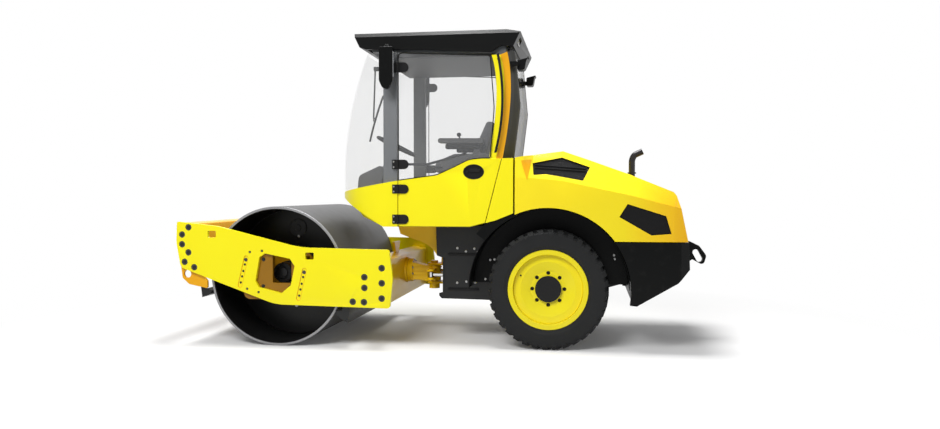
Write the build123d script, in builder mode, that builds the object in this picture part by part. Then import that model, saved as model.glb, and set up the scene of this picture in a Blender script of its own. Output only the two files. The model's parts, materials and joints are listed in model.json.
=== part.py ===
from build123d import *
import math
import os

# Single-drum road roller with a closed cab, hinged at its centre.
# Millimetres. +X is forward (towards the drum), +Y the machine's left, +Z up.
# The origin is on the ground, midway along the machine. The rear frame carries
# the cab, engine and wheels; the yoke steers on a vertical pin and lets the drum
# frame roll about a fore-and-aft axis.

os.makedirs("parts", exist_ok=True)

# ------------------------------------------------------------------ main sizes
wheelbase = 2350.0
rear_axle_x = -930.0
drum_x = rear_axle_x + wheelbase      # drum axis
sides = [("left", 1), ("right", -1)]  # name, sign of y
gap = 6.0                             # clearance round panels that move

# drum
drum_dia = 1219.0
drum_width = 1686.0
drum_wall = 25.0
drum_z = drum_dia / 2
head_y = 375.0                        # outer face of each drum head
head_t = 25.0
head_hole_r = 28.0
head_hole_pcd_r = 360.0
drive_plate_r = 250.0
drive_plate_t = 22.0
buffer_r = 52.0
buffer_len = 45.0
buffer_circle_r = 180.0
buffer_count = 6

# wheels
tyre_dia = 1026.0
tyre_width = 300.0
tyre_mid_y = 565.0
lug_count = 24
lug_depth = 26.0
lug_share = 0.58                      # lug length along the tread, of one pitch
rim_dia = 686.0
rim_bead_dia = 610.0
rim_disc_dia = 586.0
rim_disc_t = 14.0
hub_dia = 224.0
wheel_bolt_count = 8
wheel_bolt_pcd = 275.0
wheel_bolt_r = 17.0
axle_z = tyre_dia / 2

# drum frame
plate_y = 910.0                       # outer face of the side plates
plate_t = 30.0
cap_r = 29.0                          # counterbores of the plate's main bolts
cap_depth = 9.0
slot_r = 20.0
slot_depth = 6.0

# centre joint
pivot_x = drum_x - 1234.0
pivot_z = 576.0
pivot_pin_r = 35.0
roll_z = 601.0                        # height of the fore-and-aft roll axis
ear_t = 18.0
ear_r = 66.0
ear_low_z = 489.0
ear_high_z = 663.0

# rear frame
rail_y = 360.0                        # outer face of the two frame plates
rail_t = 20.0
frame_front_x = pivot_x - 166.0
frame_bottom_z = 392.0

# cab
cab_y = 650.0                         # outer face of the cab sides
cab_wall = 30.0
cab_floor_z = 1040.0
cab_floor_t = 35.0
cab_nose_x = 994.0
nose_arc_r = 472.0                    # plan radius of the front corners
door_front_x = 380.0
door_axis_y = cab_y + 14.0
roof_top_z = 2735.0
glass_t = 8.0

# bonnet
bonnet_wall = 12.0
bonnet_low_z = 931.0
hinge_x = -642.0                      # bonnet hinge: axis
hinge_z = 1648.0
hinge_y = 350.0
hinge_pin_r = 4.0
hinge_knuckle_r = 8.0
hinge_half = 22.0                     # half the knuckle's length
arch_r = 697.0


def side_plane(y):
    """Upright plane at y, seen from the left; extruding goes towards -Y."""
    return Plane.XZ.offset(-y)


def closed(points):
    """Face of a closed outline in the current sketch."""
    with BuildLine() as edge_line:
        Polyline(*points, close=True)
    make_face(edge_line.edges())


# ------------------------------------------------------------------------ drum
with BuildPart() as drum_shell:
    with BuildSketch(Plane.XZ):
        with Locations((drum_x, drum_z)):
            Circle(drum_dia / 2)
            Circle(drum_dia / 2 - drum_wall, mode=Mode.SUBTRACT)
    extrude(amount=drum_width / 2, both=True)
drum_shell.part.label = "drum_shell"
export_step(drum_shell.part, "parts/drum_shell.step")

with BuildPart() as drum_heads:
    for name, side in sides:
        with BuildSketch(side_plane(side * head_y)):
            with Locations((drum_x, drum_z)):
                Circle(drum_dia / 2 - drum_wall)
                Circle(70, mode=Mode.SUBTRACT)
            with Locations((drum_x - head_hole_pcd_r, drum_z + 190)):
                Circle(head_hole_r, mode=Mode.SUBTRACT)
        extrude(amount=side * head_t)
    # bearing tube and exciter housing between the heads
    with BuildSketch(Plane.XZ):
        with Locations((drum_x, drum_z)):
            Circle(150)
            Circle(70, mode=Mode.SUBTRACT)
    extrude(amount=head_y, both=True)
drum_heads.part.label = "drum_heads"
export_step(drum_heads.part, "parts/drum_heads.step")

buffer_end_y = head_y + buffer_len
with BuildPart() as drum_buffers:
    for name, side in sides:
        with BuildSketch(side_plane(side * buffer_end_y)):
            with Locations((drum_x, drum_z)):
                with PolarLocations(buffer_circle_r, buffer_count):
                    Circle(buffer_r)
        extrude(amount=side * buffer_len)
        with BuildSketch(side_plane(side * (buffer_end_y + drive_plate_t))):
            with Locations((drum_x, drum_z)):
                Circle(drive_plate_r)
        extrude(amount=side * drive_plate_t)
drum_buffers.part.label = "drum_buffers"
export_step(drum_buffers.part, "parts/drum_buffers.step")

# ----------------------------------------------------------------- side plates
# outline: x from the drum axis, z, corner radius
plate_outline = [
    (897, 1084, 12),
    (520, 1046, 700),
    (-232, 866, 900),
    (-1025, 855, 25),
    (-1058, 610, 400),
    (-1030, 357, 30),
    (-10, 372, 500),
    (865, 680, 60),
    (904, 900, 200),
]
# window: x from the drum axis, z
plate_window = [(81, 813), (-146, 769), (-188, 706), (-153, 540),
                (-68, 469), (140, 518), (170, 571), (132, 778)]
# main bolts: x from the drum axis, z
front_bolts = [(789, 1034), (850, 970), (851, 884), (792, 813), (828, 729), (738, 683)]
rear_bolts = [(-961, 699), (-809, 620), (-961, 571), (-809, 529),
              (-960, 441), (-805, 407), (-706, 409)]
square_holes = [(571, 975), (-323, 794)]
square_size = (76, 60)
small_bolts = [(219, 823), (108, 834), (246, 502), (141, 475)]
slots = [((254, 772), (312, 532)), ((-276, 671), (-221, 427))]   # ends' centres


def rounded_outline(table, dx):
    """Closed face through the table's corners, each with its own radius."""
    pts = [(x + dx, z) for x, z, r in table]
    with BuildLine() as edge_line:
        FilletPolyline(*pts, radius=[r for x, z, r in table], close=True)
    make_face(edge_line.edges())


for name, side in sides:
    with BuildPart() as side_plate:
        with BuildSketch(side_plane(side * plate_y)):
            rounded_outline(plate_outline, drum_x)
            with BuildSketch(mode=Mode.SUBTRACT):
                closed([(x + drum_x, z) for x, z in plate_window])
            for x, z in square_holes:
                with Locations((drum_x + x, z)):
                    RectangleRounded(*square_size, 10, mode=Mode.SUBTRACT)
            for x, z in small_bolts:
                with Locations((drum_x + x, z)):
                    Circle(11, mode=Mode.SUBTRACT)
        extrude(amount=side * plate_t)
        with BuildSketch(side_plane(side * plate_y)):
            for x, z in front_bolts + rear_bolts:
                with Locations((drum_x + x, z)):
                    Circle(cap_r)
        extrude(amount=side * cap_depth, mode=Mode.SUBTRACT)
        with BuildSketch(side_plane(side * plate_y)):
            for (x0, z0), (x1, z1) in slots:
                mid = (drum_x + (x0 + x1) / 2, (z0 + z1) / 2)
                length = math.hypot(x1 - x0, z1 - z0) + 2 * slot_r
                with Locations(Location(mid, math.degrees(math.atan2(z1 - z0, x1 - x0)))):
                    SlotOverall(length, 2 * slot_r)
        extrude(amount=side * slot_depth, mode=Mode.SUBTRACT)
    side_plate.part.label = f"side_plate_{name}"
    export_step(side_plate.part, f"parts/side_plate_{name}.step")

plate_in_y = plate_y - plate_t
beam_front_x = drum_x + 880.0
beam_rear_x = pivot_x + 269.0         # rear face of the rear beam

lashing_z = 620.0
lashing_r = 34.0
with BuildPart() as front_beam:
    with BuildSketch(side_plane(plate_in_y)):
        rounded_outline([(0, 1076, 15), (-105, 1066, 15), (-125, 800, 60),
                         (-105, 640, 25), (-30, 690, 25), (0, 900, 150)], beam_front_x)
    extrude(amount=2 * plate_in_y)
    # lashing lugs at both ends, hanging below the side plates
    for name, side in sides:
        with BuildSketch(side_plane(side * plate_in_y)):
            rounded_outline([(0, 700, 10), (-15, 585, 30), (-75, 530, 30),
                             (-250, 495, 12), (-250, 560, 12), (-120, 720, 20)], beam_front_x)
            with Locations((beam_front_x - 62, lashing_z)):
                Circle(lashing_r, mode=Mode.SUBTRACT)
        extrude(amount=side * 26)
front_beam.part.label = "front_beam"
export_step(front_beam.part, "parts/front_beam.step")

roll_shaft_r = 60.0
flange_r = 112.0
with BuildPart() as rear_beam:
    with BuildSketch(side_plane(plate_in_y)):
        rounded_outline([(0, 356, 20), (0, 750, 12), (150, 772, 15), (172, 560, 60), (150, 380, 20)],
                        beam_rear_x)
    extrude(amount=2 * plate_in_y)
    # bearing boss for the roll shaft
    with BuildSketch(Plane.YZ.offset(beam_rear_x - 22)):
        with Locations((0, roll_z)):
            Circle(flange_r + 10)
    extrude(amount=40)
    with BuildSketch(Plane.YZ.offset(beam_rear_x - 30)):
        with Locations((0, roll_z)):
            Circle(roll_shaft_r + 0.5)
    extrude(amount=150, mode=Mode.SUBTRACT)
    # upright hose bracket on the beam
    with BuildSketch(Plane.YZ.offset(beam_rear_x + 95)):
        closed([(-40, 740), (40, 740), (110, 870), (-110, 870)])
    extrude(amount=25)
rear_beam.part.label = "rear_beam"
export_step(rear_beam.part, "parts/rear_beam.step")

# drum mounts: plate on the side plate, tube inwards, motor at the drum axis
mount_t = 28.0
motor_r = 112.0
mount_inner_y = buffer_end_y + drive_plate_t + 12
for name, side in sides:
    with BuildPart() as drum_mount:
        with BuildSketch(side_plane(side * plate_in_y)):
            with Locations((drum_x + 10, drum_z + 20)):
                RectangleRounded(560, 440, 60)
            with Locations((drum_x - 72, 680)):
                RectangleRounded(190, 250, 10, mode=Mode.SUBTRACT)
        extrude(amount=side * mount_t)
        for x in (-150, 190):
            with BuildSketch(side_plane(side * (plate_in_y - mount_t))):
                with Locations((drum_x + x, drum_z)):
                    Rectangle(26, 300)
            extrude(amount=side * (plate_in_y - mount_t - mount_inner_y - 20))
        with BuildSketch(side_plane(side * (mount_inner_y + 26))):
            with Locations((drum_x, drum_z)):
                Circle(235)
                Circle(motor_r, mode=Mode.SUBTRACT)
        extrude(amount=side * 26)
    drum_mount.part.label = f"drum_mount_{name}"
    export_step(drum_mount.part, f"parts/drum_mount_{name}.step")

    with BuildPart() as drum_motor:
        with BuildSketch(side_plane(side * (mount_inner_y + 150))):
            with Locations((drum_x, drum_z)):
                Circle(motor_r)
        extrude(amount=side * 150)
        with BuildSketch(side_plane(side * (mount_inner_y + 260))):
            with Locations((drum_x, drum_z + 20)):
                Circle(86)
        extrude(amount=side * 120)
        # shaft through the drive plate into the head
        with BuildSketch(side_plane(side * mount_inner_y)):
            with Locations((drum_x, drum_z)):
                Circle(60)
        extrude(amount=side * 10)
    drum_motor.part.label = f"drum_motor_{name}"
    export_step(drum_motor.part, f"parts/drum_motor_{name}.step")

# scrapers: a bar across the drum on two arms, blade tip just off the shell
scraper_gap = 8.0
# angle round the drum axis, blade reach, end plates' outer y, their top: x from the tip, z
scraper_table = [(-12.5, 95, plate_in_y - 26, 60, 560), (-152.0, 120, plate_in_y, -100, 450)]
with BuildPart() as scrapers:
    for angle, reach, end_y, top_x, top_z in scraper_table:
        c, s = math.cos(math.radians(angle)), math.sin(math.radians(angle))
        tip_r = drum_dia / 2 + scraper_gap
        tip_x, tip_z = drum_x + tip_r * c, drum_z + tip_r * s
        back_x, back_z = tip_x + reach * c, tip_z + reach * s - 10
        with BuildSketch(side_plane(end_y)):
            closed([(tip_x, tip_z), (tip_x + 10 * c - 12 * s, tip_z + 10 * s - 30), (back_x, back_z - 34),
                    (back_x, back_z + 34), (tip_x + 40 * c, tip_z + 40 * s + 28)])
        extrude(amount=2 * end_y)
        for side in (1, -1):
            with BuildSketch(side_plane(side * end_y)):
                closed([(back_x - 30 * c, back_z - 20), (back_x, back_z - 20), (tip_x + top_x + 50 * c, top_z),
                        (tip_x + top_x, top_z), (tip_x + 50 * c, tip_z + 40 * s)])
            extrude(amount=side * 12)
scrapers.part.label = "scrapers"
export_step(scrapers.part, "parts/scrapers.step")

# -------------------------------------------------------------- centre joint
yoke_pin_gap = 0.5
eye_low_z = ear_low_z + ear_t / 2 + 5
eye_high_z = ear_high_z - ear_t / 2 - 5
arm_reach = 180.0
yoke_rib_count = 4
rib_t = 10.0
with BuildPart() as yoke:
    # eye round the steering pin
    with BuildSketch(Plane.XY.offset(eye_low_z)):
        with Locations((pivot_x, 0)):
            Circle(62)
    extrude(amount=eye_high_z - eye_low_z)
    # block towards the flange, taller and wider at the flange
    eye_mid_z = (eye_low_z + eye_high_z) / 2
    for x, z, width, height in ((pivot_x + 30, eye_mid_z, 104, eye_high_z - eye_low_z),
                                (pivot_x + ear_r + 14, eye_mid_z, 120, eye_high_z - eye_low_z),
                                (beam_rear_x - 60, roll_z, 170, 160)):
        with BuildSketch(Plane.YZ.offset(x)):
            with Locations((0, z)):
                Rectangle(width, height)
    loft(ruled=True)
    # stiffening ribs across the block
    for k in range(yoke_rib_count):
        z = eye_low_z + rib_t + k * (eye_high_z - eye_low_z - 3 * rib_t) / (yoke_rib_count - 1)
        with BuildSketch(Plane.XY.offset(z)):
            closed([(pivot_x + ear_r + 12, -62), (beam_rear_x - 60, -92), (beam_rear_x - 60, 92),
                    (pivot_x + ear_r + 12, 62)])
        extrude(amount=rib_t)
    # round flange and roll shaft
    with BuildSketch(Plane.YZ.offset(beam_rear_x - 72)):
        with Locations((0, roll_z)):
            Circle(flange_r)
    extrude(amount=48)
    with BuildSketch(Plane.YZ.offset(beam_rear_x - 30)):
        with Locations((0, roll_z)):
            Circle(roll_shaft_r)
    extrude(amount=140)
    # two steering arms with clevis ears
    for z in (pivot_z - 48, pivot_z + 30):
        with BuildSketch(Plane.XY.offset(z)):
            with Locations((pivot_x, 0)):
                Rectangle(60, 2 * arm_reach)
                for side in (1, -1):
                    with Locations((0, side * arm_reach)):
                        Circle(36)
        extrude(amount=18)
    with BuildSketch(Plane.XY.offset(eye_low_z)):
        with Locations((pivot_x, 0)):
            Circle(pivot_pin_r + yoke_pin_gap)
    extrude(amount=eye_high_z - eye_low_z, mode=Mode.SUBTRACT)
yoke.part.label = "yoke"
export_step(yoke.part, "parts/yoke.step")

# steering cylinders: left and right of the pin
barrel_pin_x = pivot_x - 586.0
barrel_pin_y = 165.0
barrel_r = 38.0
barrel_len = 374.0
rod_len = 410.0
bore_start = 66.0                     # bottom of the barrel's bore, from its pin
rod_r = 20.0
eye_r = 32.0
eye_h = 44.0
cyl_z = pivot_z
cyl_angle = math.degrees(math.atan2(arm_reach - barrel_pin_y, pivot_x - barrel_pin_x))
cyl_reach = math.hypot(arm_reach - barrel_pin_y, pivot_x - barrel_pin_x)
for name, side in sides:
    along = Plane(origin=(barrel_pin_x, side * barrel_pin_y, cyl_z),
                  x_dir=(0, 0, 1),
                  z_dir=(math.cos(math.radians(cyl_angle)), side * math.sin(math.radians(cyl_angle)), 0))
    with BuildPart() as steer_barrel:
        with BuildSketch(along.offset(eye_r + 14)):
            Circle(barrel_r)
        extrude(amount=barrel_len)
        with BuildSketch(along.offset(eye_r - 8)):
            Circle(20)
        extrude(amount=24)
        with BuildSketch(Plane.XY.offset(cyl_z - eye_h / 2)):
            with Locations((barrel_pin_x, side * barrel_pin_y)):
                Circle(eye_r)
        extrude(amount=eye_h)
        with BuildSketch(along.offset(bore_start)):
            Circle(rod_r + 0.5)
        extrude(amount=barrel_len, mode=Mode.SUBTRACT)
        with BuildSketch(Plane.XY.offset(cyl_z - eye_h / 2)):
            with Locations((barrel_pin_x, side * barrel_pin_y)):
                Circle(16)
        extrude(amount=eye_h, mode=Mode.SUBTRACT)
    steer_barrel.part.label = f"steer_barrel_{name}"
    export_step(steer_barrel.part, f"parts/steer_barrel_{name}.step")

    with BuildPart() as steer_rod:
        with BuildSketch(along.offset(cyl_reach - rod_len)):
            Circle(rod_r)
        extrude(amount=rod_len - eye_r + 8)
        with BuildSketch(Plane.XY.offset(cyl_z - eye_h / 2)):
            with Locations((pivot_x, side * arm_reach)):
                Circle(eye_r)
        extrude(amount=eye_h)
        with BuildSketch(Plane.XY.offset(cyl_z - eye_h / 2)):
            with Locations((pivot_x, side * arm_reach)):
                Circle(16)
        extrude(amount=eye_h, mode=Mode.SUBTRACT)
    steer_rod.part.label = f"steer_rod_{name}"
    export_step(steer_rod.part, f"parts/steer_rod_{name}.step")

# ------------------------------------------------------------------ rear frame
rail_in_y = rail_y - rail_t
bay_rear_x = -1700.0                  # rear wall of the engine bay
chassis_rear_x = bay_rear_x
axle_r = 92.0
with BuildPart() as chassis:
    for side in (1, -1):
        with BuildSketch(side_plane(side * rail_y)):
            closed([(frame_front_x + 80, cab_floor_z), (frame_front_x + 72, 768), (frame_front_x, 742),
                    (frame_front_x, 440), (frame_front_x + 52, 426), (frame_front_x + 50, 402),
                    (frame_front_x + 28, frame_bottom_z - 14), (-430, frame_bottom_z - 20),
                    (-700, 400), (rear_axle_x - 160, 400), (chassis_rear_x, 580),
                    (chassis_rear_x, 900), (-700, 900), (-560, cab_floor_z)])
            with Locations((rear_axle_x, axle_z)):
                Circle(axle_r, mode=Mode.SUBTRACT)
        extrude(amount=side * rail_t)
    # front wall with two openings for the steering cylinders
    with BuildSketch(Plane.YZ.offset(frame_front_x + 4)):
        with Locations((0, 560)):
            Rectangle(2 * rail_in_y, 360)
        for side in (1, -1):
            with Locations((side * 195, cyl_z)):
                Rectangle(170, 140, mode=Mode.SUBTRACT)
    extrude(amount=18)
    # cross member that carries the cylinders' pins, and the rear wall
    with BuildSketch(Plane.YZ.offset(barrel_pin_x - 70)):
        with Locations((0, 520)):
            Rectangle(2 * rail_in_y, 200)
    extrude(amount=22)
    for side in (1, -1):
        for z in (cyl_z - eye_h / 2 - 19, cyl_z + eye_h / 2 + 3):
            with BuildSketch(Plane.XY.offset(z)):
                with Locations((barrel_pin_x - 22, side * barrel_pin_y)):
                    Rectangle(96, 70)
            extrude(amount=16)
        with BuildSketch(Plane.XY.offset(cyl_z - eye_h / 2 - 19)):
            with Locations((barrel_pin_x, side * barrel_pin_y)):
                Circle(15.5)
        extrude(amount=eye_h + 38)
    with BuildSketch(Plane.YZ.offset(chassis_rear_x)):
        with Locations((0, 740)):
            Rectangle(2 * rail_in_y, 320)
    extrude(amount=20)
chassis.part.label = "chassis"
export_step(chassis.part, "parts/chassis.step")

# yellow neck under the cab with the two ears and the steering pin
neck_y = 300.0
wall_x = frame_front_x + 22           # front face of the chassis's front wall
with BuildPart() as neck:
    with BuildSketch(side_plane(neck_y)):
        with BuildLine():
            Polyline((wall_x, cab_floor_z), (pivot_x + 284, cab_floor_z), (pivot_x + 260, 960), (pivot_x + 107, 900))
            ThreePointArc((pivot_x + 107, 900), (pivot_x - 18, 843), (pivot_x - 83, 766))
            Polyline((pivot_x - 83, 766), (wall_x, 742), (wall_x, cab_floor_z))
        make_face()
    extrude(amount=2 * neck_y)
    with BuildSketch(Plane.XZ):
        closed([(wall_x + 18, 680), (wall_x + 18, 1015), (pivot_x + 244, 1015), (pivot_x + 244, 975),
                (pivot_x + 94, 918), (pivot_x - 46, 860), (pivot_x - 106, 780)])
    extrude(amount=neck_y - 25, both=True, mode=Mode.SUBTRACT)
    for z in (ear_low_z, ear_high_z):
        with BuildSketch(Plane.XY.offset(z - ear_t / 2)):
            closed([(wall_x, -105), (pivot_x, -ear_r), (pivot_x, ear_r), (wall_x, 105)])
            with Locations((pivot_x, 0)):
                Circle(ear_r)
        extrude(amount=ear_t)
    with BuildSketch(Plane.XY.offset(ear_low_z - 60)):
        with Locations((pivot_x, 0)):
            Circle(50)
    extrude(amount=60)
    with BuildSketch(Plane.XY.offset(ear_low_z)):
        with Locations((pivot_x, 0)):
            Circle(pivot_pin_r)
    extrude(amount=ear_high_z - ear_low_z + 30)
    # gusset from the upper ear to the neck's underside
    with BuildSketch(Plane.XZ):
        closed([(wall_x, ear_high_z), (pivot_x - 76, ear_high_z), (pivot_x - 83, 770), (wall_x, 750)])
    extrude(amount=60, both=True)
neck.part.label = "neck"
export_step(neck.part, "parts/neck.step")

# rear body: heavy tail with two wings round the wheels and the tow loop
body_y = 738.0
body_top_z = 925.0
tail_x = -2090.0
with BuildPart() as rear_body:
    with BuildSketch(side_plane(body_y)):
        closed([(rear_axle_x - 500, body_top_z), (tail_x, body_top_z), (-2100, 700),
                (-1998, 590), (-1667, 395), (-1608, 401), (rear_axle_x - 500, 520)])
        with Locations((rear_axle_x, axle_z)):
            Circle(arch_r - 6, mode=Mode.SUBTRACT)
    extrude(amount=2 * body_y)
    # hollow between the wings for the engine bay
    with BuildSketch(side_plane(body_y - 60)):
        closed([(rear_axle_x, body_top_z + 10), (bay_rear_x, body_top_z + 10), (bay_rear_x, 560),
                (-1600, 300), (rear_axle_x, 300)])
    extrude(amount=2 * (body_y - 60), mode=Mode.SUBTRACT)
    # chamfered rear corners
    with BuildSketch(Plane.XY.offset(300)):
        for side in (1, -1):
            with BuildLine():
                Polyline((tail_x - 30, side * (body_y - 85)), (tail_x + 80, side * (body_y + 10)),
                         (tail_x - 30, side * (body_y + 10)), close=True)
            make_face()
    extrude(amount=700, mode=Mode.SUBTRACT)
    # tow loop
    with BuildSketch(side_plane(26)):
        rounded_outline([(-2080, 905, 10), (-2180, 898, 25), (-2262, 858, 35), (-2326, 770, 40),
                         (-2300, 680, 30), (-2200, 735, 10), (-2080, 640, 10)], 0)
        with Locations(Location((-2247, 768), 62)):
            SlotOverall(125, 54, mode=Mode.SUBTRACT)
    extrude(amount=52)
rear_body.part.label = "rear_body"
export_step(rear_body.part, "parts/rear_body.step")

# fenders: arch liner over each tyre with an inner wall
fender_t = 8.0
fender_in_y = rail_y + fender_t
for name, side in sides:
    with BuildPart() as fender:
        with BuildSketch(side_plane(side * (cab_y - 20))):
            with Locations((rear_axle_x, axle_z)):
                Circle(arch_r - 8)
                Circle(arch_r - 8 - fender_t, mode=Mode.SUBTRACT)
            with Locations((rear_axle_x - 100, axle_z - 500)):
                Rectangle(2400, 1000, mode=Mode.SUBTRACT)
        extrude(amount=side * (cab_y - 20 - fender_in_y + 8))
        with BuildSketch(side_plane(side * fender_in_y)):
            with Locations((rear_axle_x, axle_z)):
                Circle(arch_r - 8)
                Circle(250, mode=Mode.SUBTRACT)
            with Locations((rear_axle_x, axle_z - 480)):
                Rectangle(2400, 1000, mode=Mode.SUBTRACT)
        extrude(amount=side * fender_t)
    fender.part.label = f"fender_{name}"
    export_step(fender.part, f"parts/fender_{name}.step")

with BuildPart() as rear_axle:
    with BuildSketch(side_plane(400)):
        with Locations((rear_axle_x, axle_z)):
            Circle(axle_r)
    extrude(amount=800)
    with Locations((rear_axle_x, 0, axle_z)):
        Sphere(190)
rear_axle.part.label = "rear_axle"
export_step(rear_axle.part, "parts/rear_axle.step")

with BuildPart() as engine:
    with Locations((-1270, 0, 980)):
        Box(660, 560, 520)
    # feet against the frame plates
    for x in (-1500, -1060):
        with Locations((x, 0, 800)):
            Box(90, 2 * rail_in_y, 60)
engine.part.label = "engine"
export_step(engine.part, "parts/engine.step")

# ---------------------------------------------------------------------- wheels
rim_out_y = tyre_mid_y + tyre_width / 2 - 30   # outer flange
disc_y = rim_out_y - 75
tread_r = tyre_dia / 2 - lug_depth
wall_r = (rim_dia / 2 + tread_r) / 2           # widest part of the sidewall
tyre_sides = 2 * lug_count                     # flats round the tyre, one under each lug
# half the tyre's section, bead to tread: radius, inset from the full width
tyre_section = [(rim_bead_dia / 2 + 5, 46), (rim_dia / 2, 44), (wall_r - 16, 0), (wall_r, 0),
                (tread_r - 12, 24), (tread_r, 60)]


def tyre_body(y0, half):
    """Ring of flat faces through the section's corners, turned round the Y axis."""
    ring = [(r, half - inset) for r, inset in tyre_section]
    ring += [(r, inset - half) for r, inset in tyre_section[::-1]]
    turns = [2 * math.pi * (k + 0.5) / tyre_sides for k in range(tyre_sides)]
    corners = [[Vector(r * math.cos(turn), y0 + y, r * math.sin(turn)) for r, y in ring] for turn in turns]
    flats = []
    for here, there in zip(corners, corners[1:] + corners[:1]):
        for i in range(len(ring)):
            flats.append(Face(Wire.make_polygon([here[i - 1], here[i], there[i], there[i - 1]])))
    return Solid(Shell(flats))


for name, side in sides:
    y0 = side * tyre_mid_y
    half = tyre_width / 2
    with BuildPart() as tyre:
        add(tyre_body(y0, half))
        # two rows of shoulder lugs, half a pitch apart
        lug_width = math.pi * tyre_dia / lug_count * lug_share
        lug_top_r = math.sqrt((tyre_dia / 2) ** 2 - (lug_width / 2) ** 2)
        for row, turn in ((1, 0.0), (-1, 0.5)):
            with BuildSketch(side_plane(y0 + row * (half - 8))):
                with PolarLocations(0, lug_count, start_angle=turn * 360 / lug_count):
                    with Locations((lug_top_r - (lug_depth + 16) / 2, 0)):
                        Rectangle(lug_depth + 16, lug_width)
            extrude(amount=row * (half - 18))
    with BuildPart() as placed:
        add(tyre.part.moved(Location((rear_axle_x, 0, axle_z))))
    placed.part.label = f"tyre_{name}"
    export_step(placed.part, f"parts/tyre_{name}.step")

    with BuildPart() as rim:
        flange_r0 = rim_dia / 2
        bead_r = rim_bead_dia / 2
        inner = side * (tyre_mid_y - tyre_width / 2 + 30)
        outer = side * rim_out_y
        with BuildSketch(Plane.XY):
            closed([(flange_r0 - 2, inner), (flange_r0 - 2, inner + side * 10), (bead_r + 3, inner + side * 14),
                    (bead_r + 3, outer - side * 14), (flange_r0 - 2, outer - side * 10), (flange_r0 - 2, outer),
                    (bead_r - 6, outer - side * 4), (bead_r - 10, inner + side * 4)])
        revolve(axis=Axis.Y)
        with BuildSketch(Plane.XY):
            closed([(0, side * disc_y), (150, side * disc_y), (235, side * (disc_y + 30)),
                    (rim_disc_dia / 2, side * (disc_y + 30)), (bead_r - 4, side * (disc_y + 22)),
                    (bead_r - 4, side * (disc_y + 8)), (rim_disc_dia / 2, side * (disc_y + 16)),
                    (240, side * (disc_y + 16)), (155, side * (disc_y - rim_disc_t)),
                    (0, side * (disc_y - rim_disc_t))])
        revolve(axis=Axis.Y)
        with BuildSketch(side_plane(side * (disc_y + 2))):
            with PolarLocations(wheel_bolt_pcd / 2, wheel_bolt_count, start_angle=90):
                Circle(wheel_bolt_r)
        extrude(amount=side * 20, mode=Mode.SUBTRACT)
    with BuildPart() as rim_placed:
        add(rim.part.moved(Location((rear_axle_x, 0, axle_z))))
    rim_placed.part.label = f"rim_{name}"
    export_step(rim_placed.part, f"parts/rim_{name}.step")

    with BuildPart() as hub:
        with BuildSketch(side_plane(side * (disc_y + 26))):
            with Locations((rear_axle_x, axle_z)):
                Circle(hub_dia / 2)
        extrude(amount=side * 26, taper=0)
        with BuildSketch(side_plane(side * (disc_y - rim_disc_t))):
            with Locations((rear_axle_x, axle_z)):
                Circle(150)
        extrude(amount=side * (disc_y - rim_disc_t - 402))
    hub.part.label = f"hub_{name}"
    export_step(hub.part, f"parts/hub_{name}.step")

# ------------------------------------------------------------------------- cab
def cab_plan(nose_x, radius, half_y, rear_x):
    """Plan outline of the cab at one height: square rear, rounded front."""
    with BuildLine() as edge_line:
        Polyline((nose_x - radius, half_y), (rear_x, half_y), (rear_x, -half_y), (nose_x - radius, -half_y))
        ThreePointArc((nose_x - radius, -half_y),
                      (nose_x - radius + radius * math.sin(math.pi / 4),
                       -half_y + radius - radius * math.cos(math.pi / 4)),
                      (nose_x, -half_y + radius))
        Line((nose_x, -half_y + radius), (nose_x, half_y - radius))
        ThreePointArc((nose_x, half_y - radius),
                      (nose_x - radius + radius * math.sin(math.pi / 4),
                       half_y - radius + radius * math.cos(math.pi / 4)),
                      (nose_x - radius, half_y))
    make_face(edge_line.edges())


cab_rear_x = -630.0


def board_z(x):
    """Top of the sloping toe board."""
    return cab_floor_z + cab_floor_t + 0.56 * (x - 500)


# where body meets glass: x, z
sill = [(1010, 1339), (388, 1444), (35, 1492), (-123, 1563), (-246, 1623), (-346, 1634), (-640, 1634)]


def sill_z(x):
    """Height of the straight front part of the sill."""
    (x0, z0), (x1, z1) = sill[0], sill[1]
    return z0 + (z1 - z0) * (x - x0) / (x1 - x0)


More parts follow.
